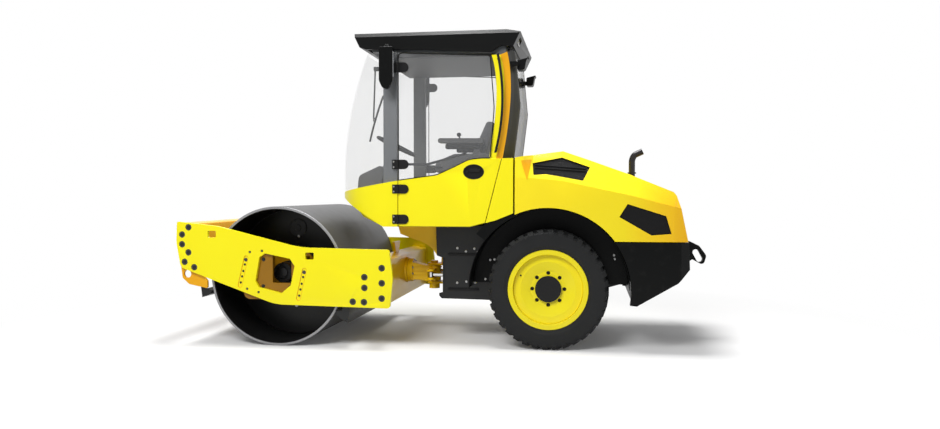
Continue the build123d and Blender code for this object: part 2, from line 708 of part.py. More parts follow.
door_rear_top_x = -529.0
door_rear_low_x = -386.0
with BuildPart() as cab_base:
    with BuildSketch(Plane.XY.offset(cab_floor_z)):
        cab_plan(cab_nose_x, nose_arc_r, cab_y, cab_rear_x)
    extrude(amount=620)
    with BuildSketch(side_plane(cab_y + 20)):
        closed([(519, cab_floor_z), (1010, 1325)] + sill +
               [(-640, 1165), (-470, 1097), (-384, 1075), (-249, cab_floor_z)])
    extrude(amount=2 * cab_y + 40, mode=Mode.INTERSECT)
    with BuildSketch(Plane.XY.offset(cab_floor_z + cab_floor_t)):
        cab_plan(cab_nose_x - cab_wall, nose_arc_r - cab_wall, cab_y - cab_wall, cab_rear_x + cab_wall)
    extrude(amount=700, mode=Mode.SUBTRACT)
    # sloping toe board closes the nose
    with BuildSketch(side_plane(cab_y - 40)):
        closed([(519, cab_floor_z), (500, cab_floor_z + cab_floor_t), (960, board_z(960)), (1010, board_z(960)),
                (1010, 1325)])
    extrude(amount=2 * cab_y - 80)
    # the floor steps up behind the seat, over the wheels
    with BuildSketch(side_plane(cab_y - 5)):
        closed([(-249, cab_floor_z), (-384, 1075), (-470, 1097), (-640, 1165), (-640, 1205),
                (-470, 1137), (-384, 1115), (-249, cab_floor_z + cab_floor_t)])
    extrude(amount=2 * cab_y - 10)
    with BuildSketch(Plane.XY.offset(cab_floor_z - 5)):
        cab_plan(cab_nose_x, nose_arc_r, cab_y, cab_rear_x)
    extrude(amount=700, mode=Mode.INTERSECT)
    # door openings
    for side in (1, -1):
        with BuildSketch(side_plane(side * (cab_y + 10))):
            closed([(door_front_x + gap, cab_floor_z - 10), (door_front_x + gap, 1700),
                    (door_rear_top_x - gap, 1700), (door_rear_top_x - gap, 1634),
                    (door_rear_low_x - gap, 1075), (-250, cab_floor_z - 10)])
        extrude(amount=side * (cab_wall + 20), mode=Mode.SUBTRACT)
    # heater box under the nose
    with BuildSketch(side_plane(420)):
        closed([(500, cab_floor_z + 10), (500, cab_floor_z - 4), (596, cab_floor_z), (762, 1120), (822, 1196),
                (790, 1225)])
    extrude(amount=840)
    # bonnet hinges on the back wall: two arms and a pin each
    for side in (1, -1):
        for y in (hinge_y - hinge_half - 12, hinge_y + hinge_half + 4):
            with BuildSketch(side_plane(side * y)):
                closed([(cab_rear_x + 12, 1620), (cab_rear_x + 12, hinge_z), (hinge_x, hinge_z + 8),
                        (hinge_x, hinge_z - 6), (cab_rear_x, 1632), (cab_rear_x, 1620)])
                with Locations((hinge_x, hinge_z)):
                    Circle(hinge_knuckle_r)
            extrude(amount=-side * 8)
        with BuildSketch(side_plane(side * (hinge_y - hinge_half - 12))):
            with Locations((hinge_x, hinge_z)):
                Circle(hinge_pin_r)
        extrude(amount=-side * (2 * hinge_half + 24))
cab_base.part.label = "cab_base"
export_step(cab_base.part, "parts/cab_base.step")

# posts and roof rails
header_z = 2575.0
header_t = 55.0
post_t = 55.0
post_y = cab_y - cab_wall
ceiling_z = 2650.0
with BuildPart() as cab_frame:
    for side in (1, -1):
        y = side * post_y
        with BuildSketch(side_plane(y)):
            closed([(395, 1370), (520, 1350), (520, header_z), (398, header_z)])
        extrude(amount=side * post_t)
        with BuildSketch(side_plane(y)):
            with BuildLine():
                Polyline((-529, 1632), (-598, 1632), (-598, 1450), (-500, 1450), (-424, 1632))
                ThreePointArc((-424, 1632), (-484, 2070), (-445, 2520))
                Line((-445, 2520), (-560, 2590))
                ThreePointArc((-560, 2590), (-600, 2160), (-529, 1632))
            make_face()
        extrude(amount=side * post_t)
        with BuildSketch(side_plane(y)):
            closed([(620, header_z), (-560, header_z - 40), (-560, ceiling_z), (620, ceiling_z)])
        extrude(amount=side * post_t)
    for x in (590, -530):
        with BuildSketch(side_plane(post_y)):
            closed([(x - 30, ceiling_z - header_t), (x + 30, ceiling_z - header_t), (x + 30, ceiling_z),
                    (x - 30, ceiling_z)])
        extrude(amount=2 * post_y)
cab_frame.part.label = "cab_frame"
export_step(cab_frame.part, "parts/cab_frame.step")

# lamps sunk in the roof's ends: outer x, inner x, height
lamp_places = [(735, 690, 2668), (-655, -612, 2655)]
lamp_y = 440.0
lamp_size = (170, 62)

# roof: side profile extruded, hollowed from below
with BuildPart() as roof:
    with BuildSketch(side_plane(cab_y + 12)):
        with BuildLine():
            Polyline((785, 2742), (600, 2755), (0, 2775), (-500, 2760), (-692, 2712), (-632, 2588),
                     (-520, 2592), (-430, 2535), (100, 2575), (664, 2592), (722, 2612), (785, 2742))
        make_face()
    extrude(amount=2 * cab_y + 24)
    with BuildSketch(Plane.YZ.offset(900)):
        closed([(-cab_y - 12, 2500), (-cab_y - 12, 2700), (-cab_y + 50, 2742), (-300, 2800), (300, 2800),
                (cab_y - 50, 2742), (cab_y + 12, 2700), (cab_y + 12, 2500)])
    extrude(amount=-1700, mode=Mode.INTERSECT)
    with BuildSketch(side_plane(cab_y - 20)):
        closed([(655, 2500), (655, ceiling_z), (-600, ceiling_z), (-600, 2500)])
    extrude(amount=2 * cab_y - 40, mode=Mode.SUBTRACT)
    # pockets for the lamps in both ends
    for x0, x1, z in lamp_places:
        for side in (1, -1):
            with BuildSketch(Plane.YZ.offset(x0 + (30 if x0 > 0 else -30))):
                with Locations((side * lamp_y, z)):
                    RectangleRounded(*lamp_size, 20)
            extrude(amount=x1 - x0 + (-30 if x0 > 0 else 30), mode=Mode.SUBTRACT)
roof.part.label = "roof"
export_step(roof.part, "parts/roof.step")

# wrap-round windscreen: front surface lofted through three heights
# z, nose x, plan radius
screen_table = [(1330, 992, 470), (2000, 930, 408), (2570, 705, 183)]
with BuildPart() as screen_inside:
    for z, nose_x, radius in screen_table:
        with BuildSketch(Plane.XY.offset(z)):
            cab_plan(nose_x - glass_t, radius - glass_t, cab_y - 4 - glass_t, 290)
    loft()

with BuildPart() as windscreen:
    for z, nose_x, radius in screen_table:
        with BuildSketch(Plane.XY.offset(z)):
            cab_plan(nose_x, radius, cab_y - 4, 300)
    loft()
    add(screen_inside.part, mode=Mode.SUBTRACT)
    with BuildSketch(side_plane(cab_y + 20)):
        closed([(door_front_x + gap, sill_z(door_front_x + gap)), (1010, sill_z(1010)), (1010, 2568),
                (door_front_x + gap, 2568)])
    extrude(amount=2 * cab_y + 40, mode=Mode.INTERSECT)
windscreen.part.label = "windscreen"
export_step(windscreen.part, "parts/windscreen.step")

# bulged rear window: height, edge x, middle x
window_table = [(1634, -560, -614), (2100, -620, -672), (2590, -588, -626)]
window_y = 558.0
with BuildPart() as rear_window:
    for z, edge_x, mid_x in window_table:
        with BuildSketch(Plane.XY.offset(z)):
            closed([(edge_x, window_y), (mid_x, 430), (mid_x, -430), (edge_x, -window_y),
                    (edge_x + 18, -window_y + 8), (mid_x + 16, -425), (mid_x + 16, 425), (edge_x + 18, window_y - 8)])
    loft(ruled=True)
    add(roof.part, mode=Mode.SUBTRACT)
rear_window.part.label = "rear_window"
export_step(rear_window.part, "parts/rear_window.step")

# doors
door_low_z = cab_floor_z + 4
panel_t = 24.0
latch_centre = (-288, 1518)
latch_size = (86, 60)                  # half width, half height
latch_depth = 14.0
door_top_edge = [(door_front_x, 1444), (35, 1490), (-123, 1561), (-246, 1621), (-346, 1632), (-424, 1632)]
bar_r = 11.0
hinge_heights = [(1065, 1147), (1331, 1410), (1544, 1627), (2386, 2472)]  # z from, z to
for name, side in sides:
    with BuildPart() as door_panel:
        with BuildSketch(side_plane(side * cab_y)):
            closed([(door_front_x, door_low_z)] + door_top_edge +
                   [(door_rear_top_x, 1632), (door_rear_low_x, 1077), (-252, door_low_z)])
        extrude(amount=side * panel_t)
        # dished recess behind the door's latch
        with BuildSketch(side_plane(side * cab_y)):
            with Locations(latch_centre):
                Ellipse(*latch_size)
        extrude(amount=side * latch_depth, mode=Mode.SUBTRACT)
    door_panel.part.label = f"door_panel_{name}"
    export_step(door_panel.part, f"parts/door_panel_{name}.step")

    with BuildPart() as door_glass:
        with BuildSketch(side_plane(side * (cab_y - 4))):
            closed(door_top_edge + [(-434, 1640), (-470, 2070), (-434, 2505), (-420, 2520), (door_front_x, 2562)])
        extrude(amount=side * glass_t)
    door_glass.part.label = f"door_glass_{name}"
    export_step(door_glass.part, f"parts/door_glass_{name}.step")

    with BuildPart() as door_fittings:
        for z0, z1 in hinge_heights:
            y = cab_y if z1 < 1500 else cab_y - 4
            with BuildSketch(side_plane(side * (y + 10))):
                with BuildLine():
                    Polyline((door_front_x, z0), (door_front_x, z1), (322, z1))
                    ThreePointArc((322, z1), (285, (z0 + z1) / 2), (322, z0))
                    Line((322, z0), (door_front_x, z0))
                make_face()
            extrude(amount=side * 10)
            with BuildSketch(Plane.XY.offset(z0)):
                with Locations((door_front_x + 2, side * door_axis_y)):
                    Circle(9)
            extrude(amount=z1 - z0)
        # inner grab bar on two stand-offs
        bar_y = side * (cab_y - 4 - glass_t - 26)
        with BuildLine(side_plane(bar_y)):
            FilletPolyline((332, 1588), (126, 1586), (-221, 1680), radius=150)
        with BuildSketch(Plane(origin=(332, bar_y, 1588), z_dir=(-1, 0, 0))):
            Circle(bar_r)
        sweep()
        for x, z in ((310, 1588), (-205, 1675.7)):
            with BuildSketch(side_plane(bar_y)):
                with Locations((x, z)):
                    Circle(bar_r - 2)
            extrude(amount=-side * 26)
    door_fittings.part.label = f"door_fittings_{name}"
    export_step(door_fittings.part, f"parts/door_fittings_{name}.step")

# ------------------------------------------------------------------ cab inside
with BuildPart() as seat_base:
    with BuildSketch(Plane.XY.offset(cab_floor_z + cab_floor_t)):
        with Locations((-30, 0)):
            RectangleRounded(400, 440, 40)
    with BuildSketch(Plane.XY.offset(1520)):
        with Locations((-130, 0)):
            RectangleRounded(460, 500, 40)
    loft(ruled=True)
    # side consoles with arm rests
    for side in (1, -1):
        with BuildSketch(side_plane(side * 330)):
            rounded_outline([(-249, 1075, 0), (-380, 1116, 0), (-380, 1700, 30), (-60, 1690, 40),
                             (60, 1640, 40), (20, 1400, 60), (-60, 1075, 0)], 0)
        extrude(amount=side * 70)
        with BuildSketch(side_plane(side * 345)):
            rounded_outline([(-330, 1780, 20), (-330, 1830, 20), (86, 1835, 22), (86, 1790, 20)], 0)
        extrude(amount=side * 85)
        with BuildSketch(side_plane(side * 320)):
            closed([(-300, 1690), (-300, 1790), (-240, 1790), (-240, 1690)])
        extrude(amount=side * 40)
seat_base.part.label = "seat_base"
export_step(seat_base.part, "parts/seat_base.step")

with BuildPart() as seat_cushion:
    with BuildSketch(Plane.XY.offset(1520)):
        with Locations((-80, 0)):
            RectangleRounded(460, 480, 60)
    extrude(amount=110)
seat_cushion.part.label = "seat_cushion"
export_step(seat_cushion.part, "parts/seat_cushion.step")

with BuildPart() as seat_back:
    with BuildSketch(side_plane(230)):
        rounded_outline([(-215, 1630, 10), (-320, 1630, 20), (-430, 1990, 30), (-350, 2010, 30), (-190, 1670, 20)], 0)
    extrude(amount=460)
seat_back.part.label = "seat_back"
export_step(seat_back.part, "parts/seat_back.step")

with BuildPart() as dashboard:
    with BuildSketch(side_plane(250)):
        rounded_outline([(560, board_z(560), 0), (640, 1430, 40), (600, 1560, 20), (660, 1590, 20),
                         (860, 1500, 60), (880, board_z(880), 0)], 0)
    extrude(amount=500)
    # steering column
    with BuildSketch(Plane(origin=(680, 0, 1540), z_dir=(-0.45, 0, 0.893))):
        Circle(34)
    extrude(amount=260)
dashboard.part.label = "dashboard"
export_step(dashboard.part, "parts/dashboard.step")

column = Vector(-0.45, 0, 0.893).normalized()
wheel_plane = Plane(origin=Vector(680, 0, 1540) + column * 260, z_dir=column)
with BuildPart() as steering_wheel:
    with BuildSketch(Plane.XZ):
        with Locations((195, 14)):
            Circle(15)
    revolve(axis=Axis.Z)
    with BuildSketch(Plane.XY):
        Circle(45)
        Rectangle(380, 28)
        with Locations((0, -95)):
            Rectangle(30, 190)
    extrude(amount=18)
with BuildPart() as wheel_placed:
    add(steering_wheel.part.moved(wheel_plane.location))
wheel_placed.part.label = "steering_wheel"
export_step(wheel_placed.part, "parts/steering_wheel.step")

with BuildPart() as mirrors:
    for side in (1, -1):
        with BuildSketch(side_plane(side * 790)):
            rounded_outline([(390, 2590, 15), (515, 2590, 15), (515, 2300, 90), (462, 2190, 40), (396, 2290, 90)], 0)
        extrude(amount=side * 60)
        with BuildSketch(side_plane(side * 775)):
            closed([(430, 2570), (466, 2570), (466, 2612), (430, 2612)])
        extrude(amount=side * (775 - cab_y - 12))
mirrors.part.label = "mirrors"
export_step(mirrors.part, "parts/mirrors.step")

# lamps: four in the roof ends and two on brackets behind the cab
with BuildPart() as lamps:
    for side in (1, -1):
        for x0, x1, z in lamp_places:
            with BuildSketch(Plane.YZ.offset(x0)):
                with Locations((side * lamp_y, z)):
                    RectangleRounded(*lamp_size, 20)
            extrude(amount=x1 - x0)
        with BuildSketch(side_plane(side * 560)):
            rounded_outline([(-655, 2400, 10), (-655, 2480, 15), (-755, 2505, 5), (-735, 2480, 5),
                             (-720, 2400, 20)], 0)
        extrude(amount=side * 120)
        with BuildSketch(side_plane(side * (post_y - 10))):
            closed([(-560, 2425), (-560, 2465), (-670, 2465), (-670, 2425)])
        extrude(amount=side * 30)
    add(cab_frame.part, mode=Mode.SUBTRACT)
lamps.part.label = "lamps"
export_step(lamps.part, "parts/lamps.step")

# grab rails on the rear posts
with BuildPart() as grab_rails:
    for side in (1, -1):
        with BuildLine(side_plane(side * (cab_y + 24))):
            ThreePointArc((-480, 1680), (-540, 2110), (-500, 2520))
        with BuildSketch(Plane(origin=(-480, side * (cab_y + 24), 1680), z_dir=(0, 0, 1))):
            Circle(11)
        sweep()
        for x, z in ((-487, 1720), (-504, 2480)):
            with BuildSketch(side_plane(side * (cab_y + 24))):
                with Locations((x, z)):
                    Circle(10)
            extrude(amount=side * (24 + cab_wall))
grab_rails.part.label = "grab_rails"
export_step(grab_rails.part, "parts/grab_rails.step")

# ---------------------------------------------------------------------- bonnet
# side profile of the bonnet: x, z
bonnet_profile = [(-645, bonnet_low_z), (-645, 1640), (-865, 1670), (-1053, 1692), (-1281, 1612), (-1598, 1495),
                  (-1966, 1343), (-1988, 1315), (-2022, 1205), (-2079, bonnet_low_z)]
# sections of its sides: x, half width, crease z, inward lean above the crease
bonnet_sections = [
    (-640, 660, 1470, 0.12),
    (-720, 690, 1466, 0.12),
    (-800, 712, 1462, 0.60),
    (-1053, 740, 1436, 0.60),
    (-1600, 740, 1318, 0.60),
    (-1966, 736, 1222, 0.60),
    (-2090, 715, 1190, 0.60),
]
side_top_z = 1800.0


def bonnet_sides(inset):
    """Tall body whose sides follow the table, kept where it meets the profile."""
    sections = []
    for x, half_y, crease_z, lean in bonnet_sections:
        top_y = half_y - lean * (side_top_z - crease_z)
        with BuildSketch(Plane.YZ.offset(x)) as section:
            closed([(inset - half_y, 850), (inset - half_y, crease_z), (inset - top_y, side_top_z),
                    (top_y - inset, side_top_z), (half_y - inset, crease_z), (half_y - inset, 850)])
        sections.append(section.sketch)
    loft(sections, ruled=True, mode=Mode.INTERSECT)


upper_vent = [(-796, 1590), (-1044, 1637), (-1280, 1552), (-1223, 1437), (-916, 1494), (-807, 1488)]
lower_vent = [(-1588, 1244), (-1899, 1145), (-1943, 998), (-1782, 985), (-1521, 1136)]
exhaust_x = -1650.0
exhaust_y = 200.0
exhaust_r = 29.0


def bonnet_core(inset, front_x, low_z):
    """Inside of the bonnet's wall, open towards the cab and the ground."""
    with BuildSketch(side_plane(760)) as profile:
        closed(bonnet_profile)
        offset(amount=-inset, kind=Kind.INTERSECTION)
        closed([(front_x, low_z), (front_x, 1640 - inset), (-700, 1640 - inset), (-700, 1000),
                (-2064 + inset, bonnet_low_z + 15), (-2067 + inset, low_z)])
    extrude(profile.sketch, amount=1520)
    bonnet_sides(inset)


with BuildPart() as bonnet_inside:
    bonnet_core(bonnet_wall, -641, 900)

with BuildPart() as grille_inside:
    bonnet_core(bonnet_wall + 10, -640.5, 890)

with BuildPart() as bonnet:
    with BuildSketch(side_plane(760)):
        closed(bonnet_profile)
    extrude(amount=1520)
    bonnet_sides(0)
    add(bonnet_inside.part, mode=Mode.SUBTRACT)
    with BuildSketch(Plane.XZ):
        with Locations((rear_axle_x, axle_z)):
            Circle(arch_r)
        closed([(-560, 900), (-560, 1195), (-641, 1161), (-700, 900)])
    extrude(amount=900, both=True, mode=Mode.SUBTRACT)
    for side in (1, -1):
        for outline in (upper_vent, lower_vent):
            with BuildSketch(side_plane(side * 800)):
                closed(outline)
            extrude(amount=side * 400, mode=Mode.SUBTRACT)
    with BuildSketch(Plane.XY.offset(1300)):
        with Locations((exhaust_x, exhaust_y)):
            Circle(exhaust_r)
    extrude(amount=300, mode=Mode.SUBTRACT)
bonnet.part.label = "bonnet"
export_step(bonnet.part, "parts/bonnet.step")

# knuckles at the bonnet's front edge, on the cab's pins, with straps along its top
with BuildPart() as bonnet_hinges:
    (x0, z0), (x1, z1) = bonnet_profile[1], bonnet_profile[2]
    strap = [(x0, z0), (x0 - 60, z0 + 60 * (z1 - z0) / (x0 - x1))]
    for side in (1, -1):
        with BuildSketch(side_plane(side * hinge_y + hinge_half)):
            with Locations((hinge_x, hinge_z)):
                Circle(hinge_knuckle_r)
            closed([(hinge_x, hinge_z + hinge_knuckle_r), (hinge_x, hinge_z)] + strap +
                   [(strap[1][0], strap[1][1] + 7)])
            with Locations((hinge_x, hinge_z)):
                Circle(hinge_pin_r + 0.08, mode=Mode.SUBTRACT)
        extrude(amount=2 * hinge_half)
bonnet_hinges.part.label = "bonnet_hinges"
export_step(bonnet_hinges.part, "parts/bonnet_hinges.step")

with BuildPart() as grilles:
    for outline in (upper_vent, lower_vent):
        with BuildSketch(side_plane(800)):
            closed(outline)
            offset(amount=12)
        extrude(amount=400)
    add(bonnet_inside.part, mode=Mode.INTERSECT)
    add(grille_inside.part, mode=Mode.SUBTRACT)
    mirror(about=Plane.XZ)
grilles.part.label = "bonnet_grilles"
export_step(grilles.part, "parts/bonnet_grilles.step")

with BuildPart() as exhaust:
    with BuildLine(Plane.XZ.offset(-exhaust_y)):
        FilletPolyline((exhaust_x, 1440), (exhaust_x, 1620), (exhaust_x - 95, 1715), radius=70)
    with BuildSketch(Plane.XY.offset(1440)):
        with Locations((exhaust_x, exhaust_y)):
            Circle(exhaust_r)
            Circle(exhaust_r - 4, mode=Mode.SUBTRACT)
    sweep()
exhaust.part.label = "exhaust"
export_step(exhaust.part, "parts/exhaust.step")
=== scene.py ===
import json
import math

import bmesh
import bpy
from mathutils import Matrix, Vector
from mathutils.bvhtree import BVHTree

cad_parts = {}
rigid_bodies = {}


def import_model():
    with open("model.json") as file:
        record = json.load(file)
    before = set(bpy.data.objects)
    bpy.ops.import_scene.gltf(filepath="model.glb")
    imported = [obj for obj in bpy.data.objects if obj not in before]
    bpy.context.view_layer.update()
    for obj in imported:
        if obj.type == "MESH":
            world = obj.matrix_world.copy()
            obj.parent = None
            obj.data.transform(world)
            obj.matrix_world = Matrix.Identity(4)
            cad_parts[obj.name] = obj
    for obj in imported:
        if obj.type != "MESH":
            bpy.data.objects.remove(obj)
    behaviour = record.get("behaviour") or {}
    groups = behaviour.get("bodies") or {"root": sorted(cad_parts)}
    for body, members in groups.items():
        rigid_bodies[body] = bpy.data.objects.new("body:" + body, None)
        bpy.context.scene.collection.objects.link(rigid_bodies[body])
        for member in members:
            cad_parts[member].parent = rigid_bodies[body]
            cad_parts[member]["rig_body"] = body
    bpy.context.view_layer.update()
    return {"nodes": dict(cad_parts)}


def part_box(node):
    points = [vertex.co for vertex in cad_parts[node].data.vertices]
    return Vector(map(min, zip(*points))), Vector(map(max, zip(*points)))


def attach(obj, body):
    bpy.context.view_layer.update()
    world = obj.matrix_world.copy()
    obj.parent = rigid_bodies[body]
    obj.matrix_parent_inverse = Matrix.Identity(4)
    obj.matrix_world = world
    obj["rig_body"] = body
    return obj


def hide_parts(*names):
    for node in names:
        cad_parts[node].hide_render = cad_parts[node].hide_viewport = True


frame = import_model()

sides = {"left": 1, "right": -1}
print("frame loaded:", len(frame["nodes"]), "nodes")


class Signal:
    # one output of a node, usable in sums
    def __init__(self, tree, socket):
        self.tree = tree
        self.socket = socket

    def __add__(self, other):
        return self.tree.join("ADD", self, other)

    def __radd__(self, other):
        return self.tree.join("ADD", other, self)

    def __rsub__(self, other):
        return self.tree.join("SUBTRACT", other, self)

    def __mul__(self, other):
        return self.tree.join("MULTIPLY", self, other)

    def __truediv__(self, other):
        return self.tree.join("DIVIDE", self, other)


class NodeTree:
    # a tree of nodes, written in short calls
    def __init__(self, tree):
        self.tree = tree

    def node(self, kind, settings=None, sockets=None, out=0):
        made = self.tree.nodes.new(kind)
        for name, value in (settings or {}).items():
            setattr(made, name, value)
        for key, value in (sockets or {}).items():
            self.feed(made.inputs[key], value)
        return Signal(self, made.outputs[out])

    def feed(self, socket, value):
        if isinstance(value, Signal):
            self.tree.links.new(value.socket, socket)
        else:
            socket.default_value = value

    def join(self, operation, *values):
        return self.node("ShaderNodeMath", {"operation": operation}, dict(enumerate(values)))


class Recipe(NodeTree):
    # one procedural material on a Principled shader
    def __init__(self, name, **constants):
        self.material = bpy.data.materials.new(name)
        self.material.use_nodes = True
        super().__init__(self.material.node_tree)
        self.shader = self.tree.nodes["Principled BSDF"]
        self.place = self.node("ShaderNodeTexCoord", out="Object")
        self.channels(constants)

    def channels(self, values):
        for socket, value in values.items():
            self.feed(self.shader.inputs[socket.replace("_", " ")], value)

    def noise(self, scale, detail, stretch=None, roughness=0.5, where=None):
        where = where or self.place
        if stretch:
            where = self.node("ShaderNodeMapping", None, {"Vector": where, "Scale": stretch})
        return self.node("ShaderNodeTexNoise", None,
                         {"Vector": where, "Scale": scale, "Detail": detail, "Roughness": roughness})

    def wave(self, direction, scale):
        return self.node("ShaderNodeTexWave", {"bands_direction": direction},
                         {"Vector": self.place, "Scale": scale})

    def ramp(self, signal, start, end, first=0.0, last=1.0):
        # goes from the first value to the last while the signal goes from start to end
        made = self.node("ShaderNodeValToRGB", None, {"Fac": signal})
        stops = made.socket.node.color_ramp.elements
        for stop, position, shade in zip(stops, (start, end), (first, last)):
            stop.position = position
            stop.color = (shade, shade, shade, 1)
        return made

    def mix(self, factor, a, b):
        a, b = [(*c, 1) if isinstance(c, tuple) else c for c in (a, b)]
        return self.node("ShaderNodeMix", {"data_type": "RGBA"}, {0: factor, 6: a, 7: b}, 2)

    def axis(self, letter, where=None):
        return self.node("ShaderNodeSeparateXYZ", None, {0: where or self.place}, letter)

    def done(self, tone, rough, height, distance, strength, **others):
        # colour, roughness and a bump of some height, then any other channel
        bump = self.node("ShaderNodeBump", None,
                         {"Height": height, "Distance": distance, "Strength": strength})
        self.channels(dict(others, Base_Color=tone, Roughness=rough, Normal=bump))
        return self.material


# sprayed gloss paint: cloudy tone, orange peel and a duller film low down;
# the last value paints shade into the tone: where along the machine, over what length and to what colour it
# changes towards the rear
def sprayPaint(name, colour, dark, gloss=0.3, warm=None):
    r = Recipe(name, Coat_Roughness=0.08, IOR=1.5, Specular_IOR_Level=0.22)
    tone = r.mix(r.ramp(r.noise(2.2, 2.0), 0.35, 0.75, 0.0, 0.35), colour, dark)
    # painted shade: the tone turns towards the amber colour at the rear
    if warm:
        start, span, amber = warm
        tone = r.mix(r.ramp((start - r.axis("X")) / span, 0.0, 1.0), tone, amber)
    low = r.ramp(r.axis("Z"), 0.05, 0.55, 1.0, 0.0)
    tone = r.mix(low * r.noise(9.0, 5.0) * 0.25, tone, (0.42, 0.36, 0.22))
    return r.done(tone, gloss + r.noise(240.0, 2.0) * 0.08 + low * 0.12, r.noise(170.0, 2.0), 0.0004, 0.25,
                  Coat_Weight=0.22 - low * 0.2)


# satin black paint on plate steel, with faint dust and rub marks
def frameBlack(name, colour=(0.007, 0.0075, 0.008), rough=0.4, shine=0.3):
    r = Recipe(name, IOR=1.5, Specular_IOR_Level=shine)
    rub = r.ramp(r.noise(14.0, 6.0, roughness=0.7), 0.55, 0.8)
    low = r.ramp(r.axis("Z"), 0.2, 0.9, 1.0, 0.0)
    tone = r.mix(rub * 0.25 + low * 0.12, colour, (0.032, 0.032, 0.031))
    return r.done(tone, rough + rub * 0.15, r.noise(420.0, 2.0), 0.0004, 0.3)


# polished black moulding of the roof and the lamp shells
def glossBlack(name):
    r = Recipe(name, IOR=1.5, Specular_IOR_Level=0.12)
    wipe = r.noise(5.0, 4.0, stretch=(0.4, 1.0, 2.0))
    tone = r.mix(wipe, (0.002, 0.0022, 0.0022), (0.005, 0.0052, 0.0052))
    return r.done(tone, 0.30 + wipe * 0.10, r.noise(600.0, 1.0), 0.0001, 0.15)


# grained moulded plastic
def grainPlastic(name, colour, paler, rough=0.55, cell=420.0, shine=0.3):
    r = Recipe(name, IOR=1.45, Specular_IOR_Level=shine)
    cells = r.node("ShaderNodeTexVoronoi", None, {"Vector": r.place, "Scale": cell}, "Distance")
    cloud = r.noise(6.0, 3.0)
    return r.done(r.mix(cloud, colour, paler), rough + cloud * 0.12, cells, 0.0006, 0.5)


# moulded rubber of seals and buffers
def rubber(name):
    r = Recipe(name, IOR=1.45, Specular_IOR_Level=0.25)
    bloom = r.noise(22.0, 5.0)
    tone = r.mix(bloom, (0.006, 0.006, 0.006), (0.018, 0.018, 0.018))
    return r.done(tone, 0.6 + bloom * 0.2, r.noise(300.0, 3.0), 0.0008, 0.4)


# machined steel of the drum's rolling face, marked round the turn
def drumSteel(name, centre):
    r = Recipe(name, Metallic=0.35, IOR=1.5)
    local = r.node("ShaderNodeMapping", None, {"Vector": r.place, "Location": (-centre[0], 0, -centre[1])})
    x, y, z = (r.axis(letter, local) for letter in "XYZ")
    angle = r.join("ARCTAN2", z, x)
    ringPlace = r.node("ShaderNodeCombineXYZ", None, {0: angle * 1.5, 1: y * 60.0, 2: 0.0})
    rings = r.noise(3.0, 6.0, where=ringPlace)
    scuff = r.ramp(r.noise(7.0, 7.0, roughness=0.65), 0.4, 0.75)
    tone = r.mix(rings, (0.052, 0.052, 0.054), (0.080, 0.080, 0.082))
    tone = r.mix(scuff * 0.25, tone, (0.13, 0.129, 0.128))
    return r.done(tone, 0.42 + rings * 0.12 + scuff * 0.08, rings, 0.0006, 0.35)


# bright or dull plain steel: pins, rods, bolt heads
def plainSteel(name, colour, rough, metal=1.0):
    r = Recipe(name, Metallic=metal)
    scratch = r.noise(160.0, 5.0, stretch=(1, 1, 0.1))
    tone = r.mix(scratch, colour, tuple(c * 0.8 for c in colour))
    return r.done(tone, rough + scratch * 0.15, scratch, 0.0002, 0.2)


# tinted safety glass: a thin grey veil over what is behind it
def tintedGlass(name, veil=0.07, shade=0.62):
    r = Recipe(name, IOR=1.5, Specular_IOR_Level=0.4)
    wipe = r.noise(3.0, 4.0, stretch=(1, 1, 0.4))
    r.material.surface_render_method = "BLENDED"
    tint, paler = [tuple(shade * c for c in tones) for tones in ((1.0, 1.02, 1.04), (1.1, 1.12, 1.15))]
    r.channels({"Base_Color": r.mix(wipe, tint, paler), "Roughness": 0.04 + wipe * 0.03,
                "Alpha": veil + wipe * 0.03})
    return r.material


# tyre rubber: blackened, with flow lines and a bloom
def tyreRubber(name):
    r = Recipe(name, IOR=1.5, Specular_IOR_Level=0.2)
    bloom = r.noise(5.0, 5.0)
    tone = r.mix(bloom, (0.008, 0.0085, 0.0088), (0.018, 0.0185, 0.019))
    return r.done(tone, 0.44 + bloom * 0.18, r.noise(220.0, 4.0), 0.0010, 0.45)


# woven seat cloth
def wovenCloth(name, colour, paler):
    r = Recipe(name, Sheen_Weight=0.3, Sheen_Roughness=0.5)
    weave = r.wave("Y", 260.0) * r.wave("X", 260.0)
    cloud = r.noise(12.0, 4.0)
    return r.done(r.mix(weave * 0.5 + cloud * 0.4, colour, paler), 0.85 + cloud * 0.1, weave, 0.0008, 0.6)


# dark wire mesh behind the bonnet's vents
def meshPanel(name):
    r = Recipe(name, IOR=1.45, Specular_IOR_Level=0.12)
    net = r.join("MAXIMUM", r.wave("DIAGONAL", 60.0), r.wave("Z", 90.0))
    tone = r.mix(net, (0.003, 0.003, 0.003), (0.014, 0.014, 0.015))
    return r.done(tone, 0.35 + net * 0.3, net, 0.0015, 0.7)


# clear moulded lamp lens
def lampLens(name):
    r = Recipe(name, IOR=1.5, Coat_Weight=0.5)
    flute = r.wave("Y", 40.0)
    tone = r.mix(flute, (0.62, 0.64, 0.66), (0.85, 0.86, 0.88))
    return r.done(tone, 0.12 + flute * 0.1, flute, 0.002, 0.5)


drumLow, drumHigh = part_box("drum_shell")
drumCentre = ((drumLow.x + drumHigh.x) / 2, (drumLow.z + drumHigh.z) / 2)
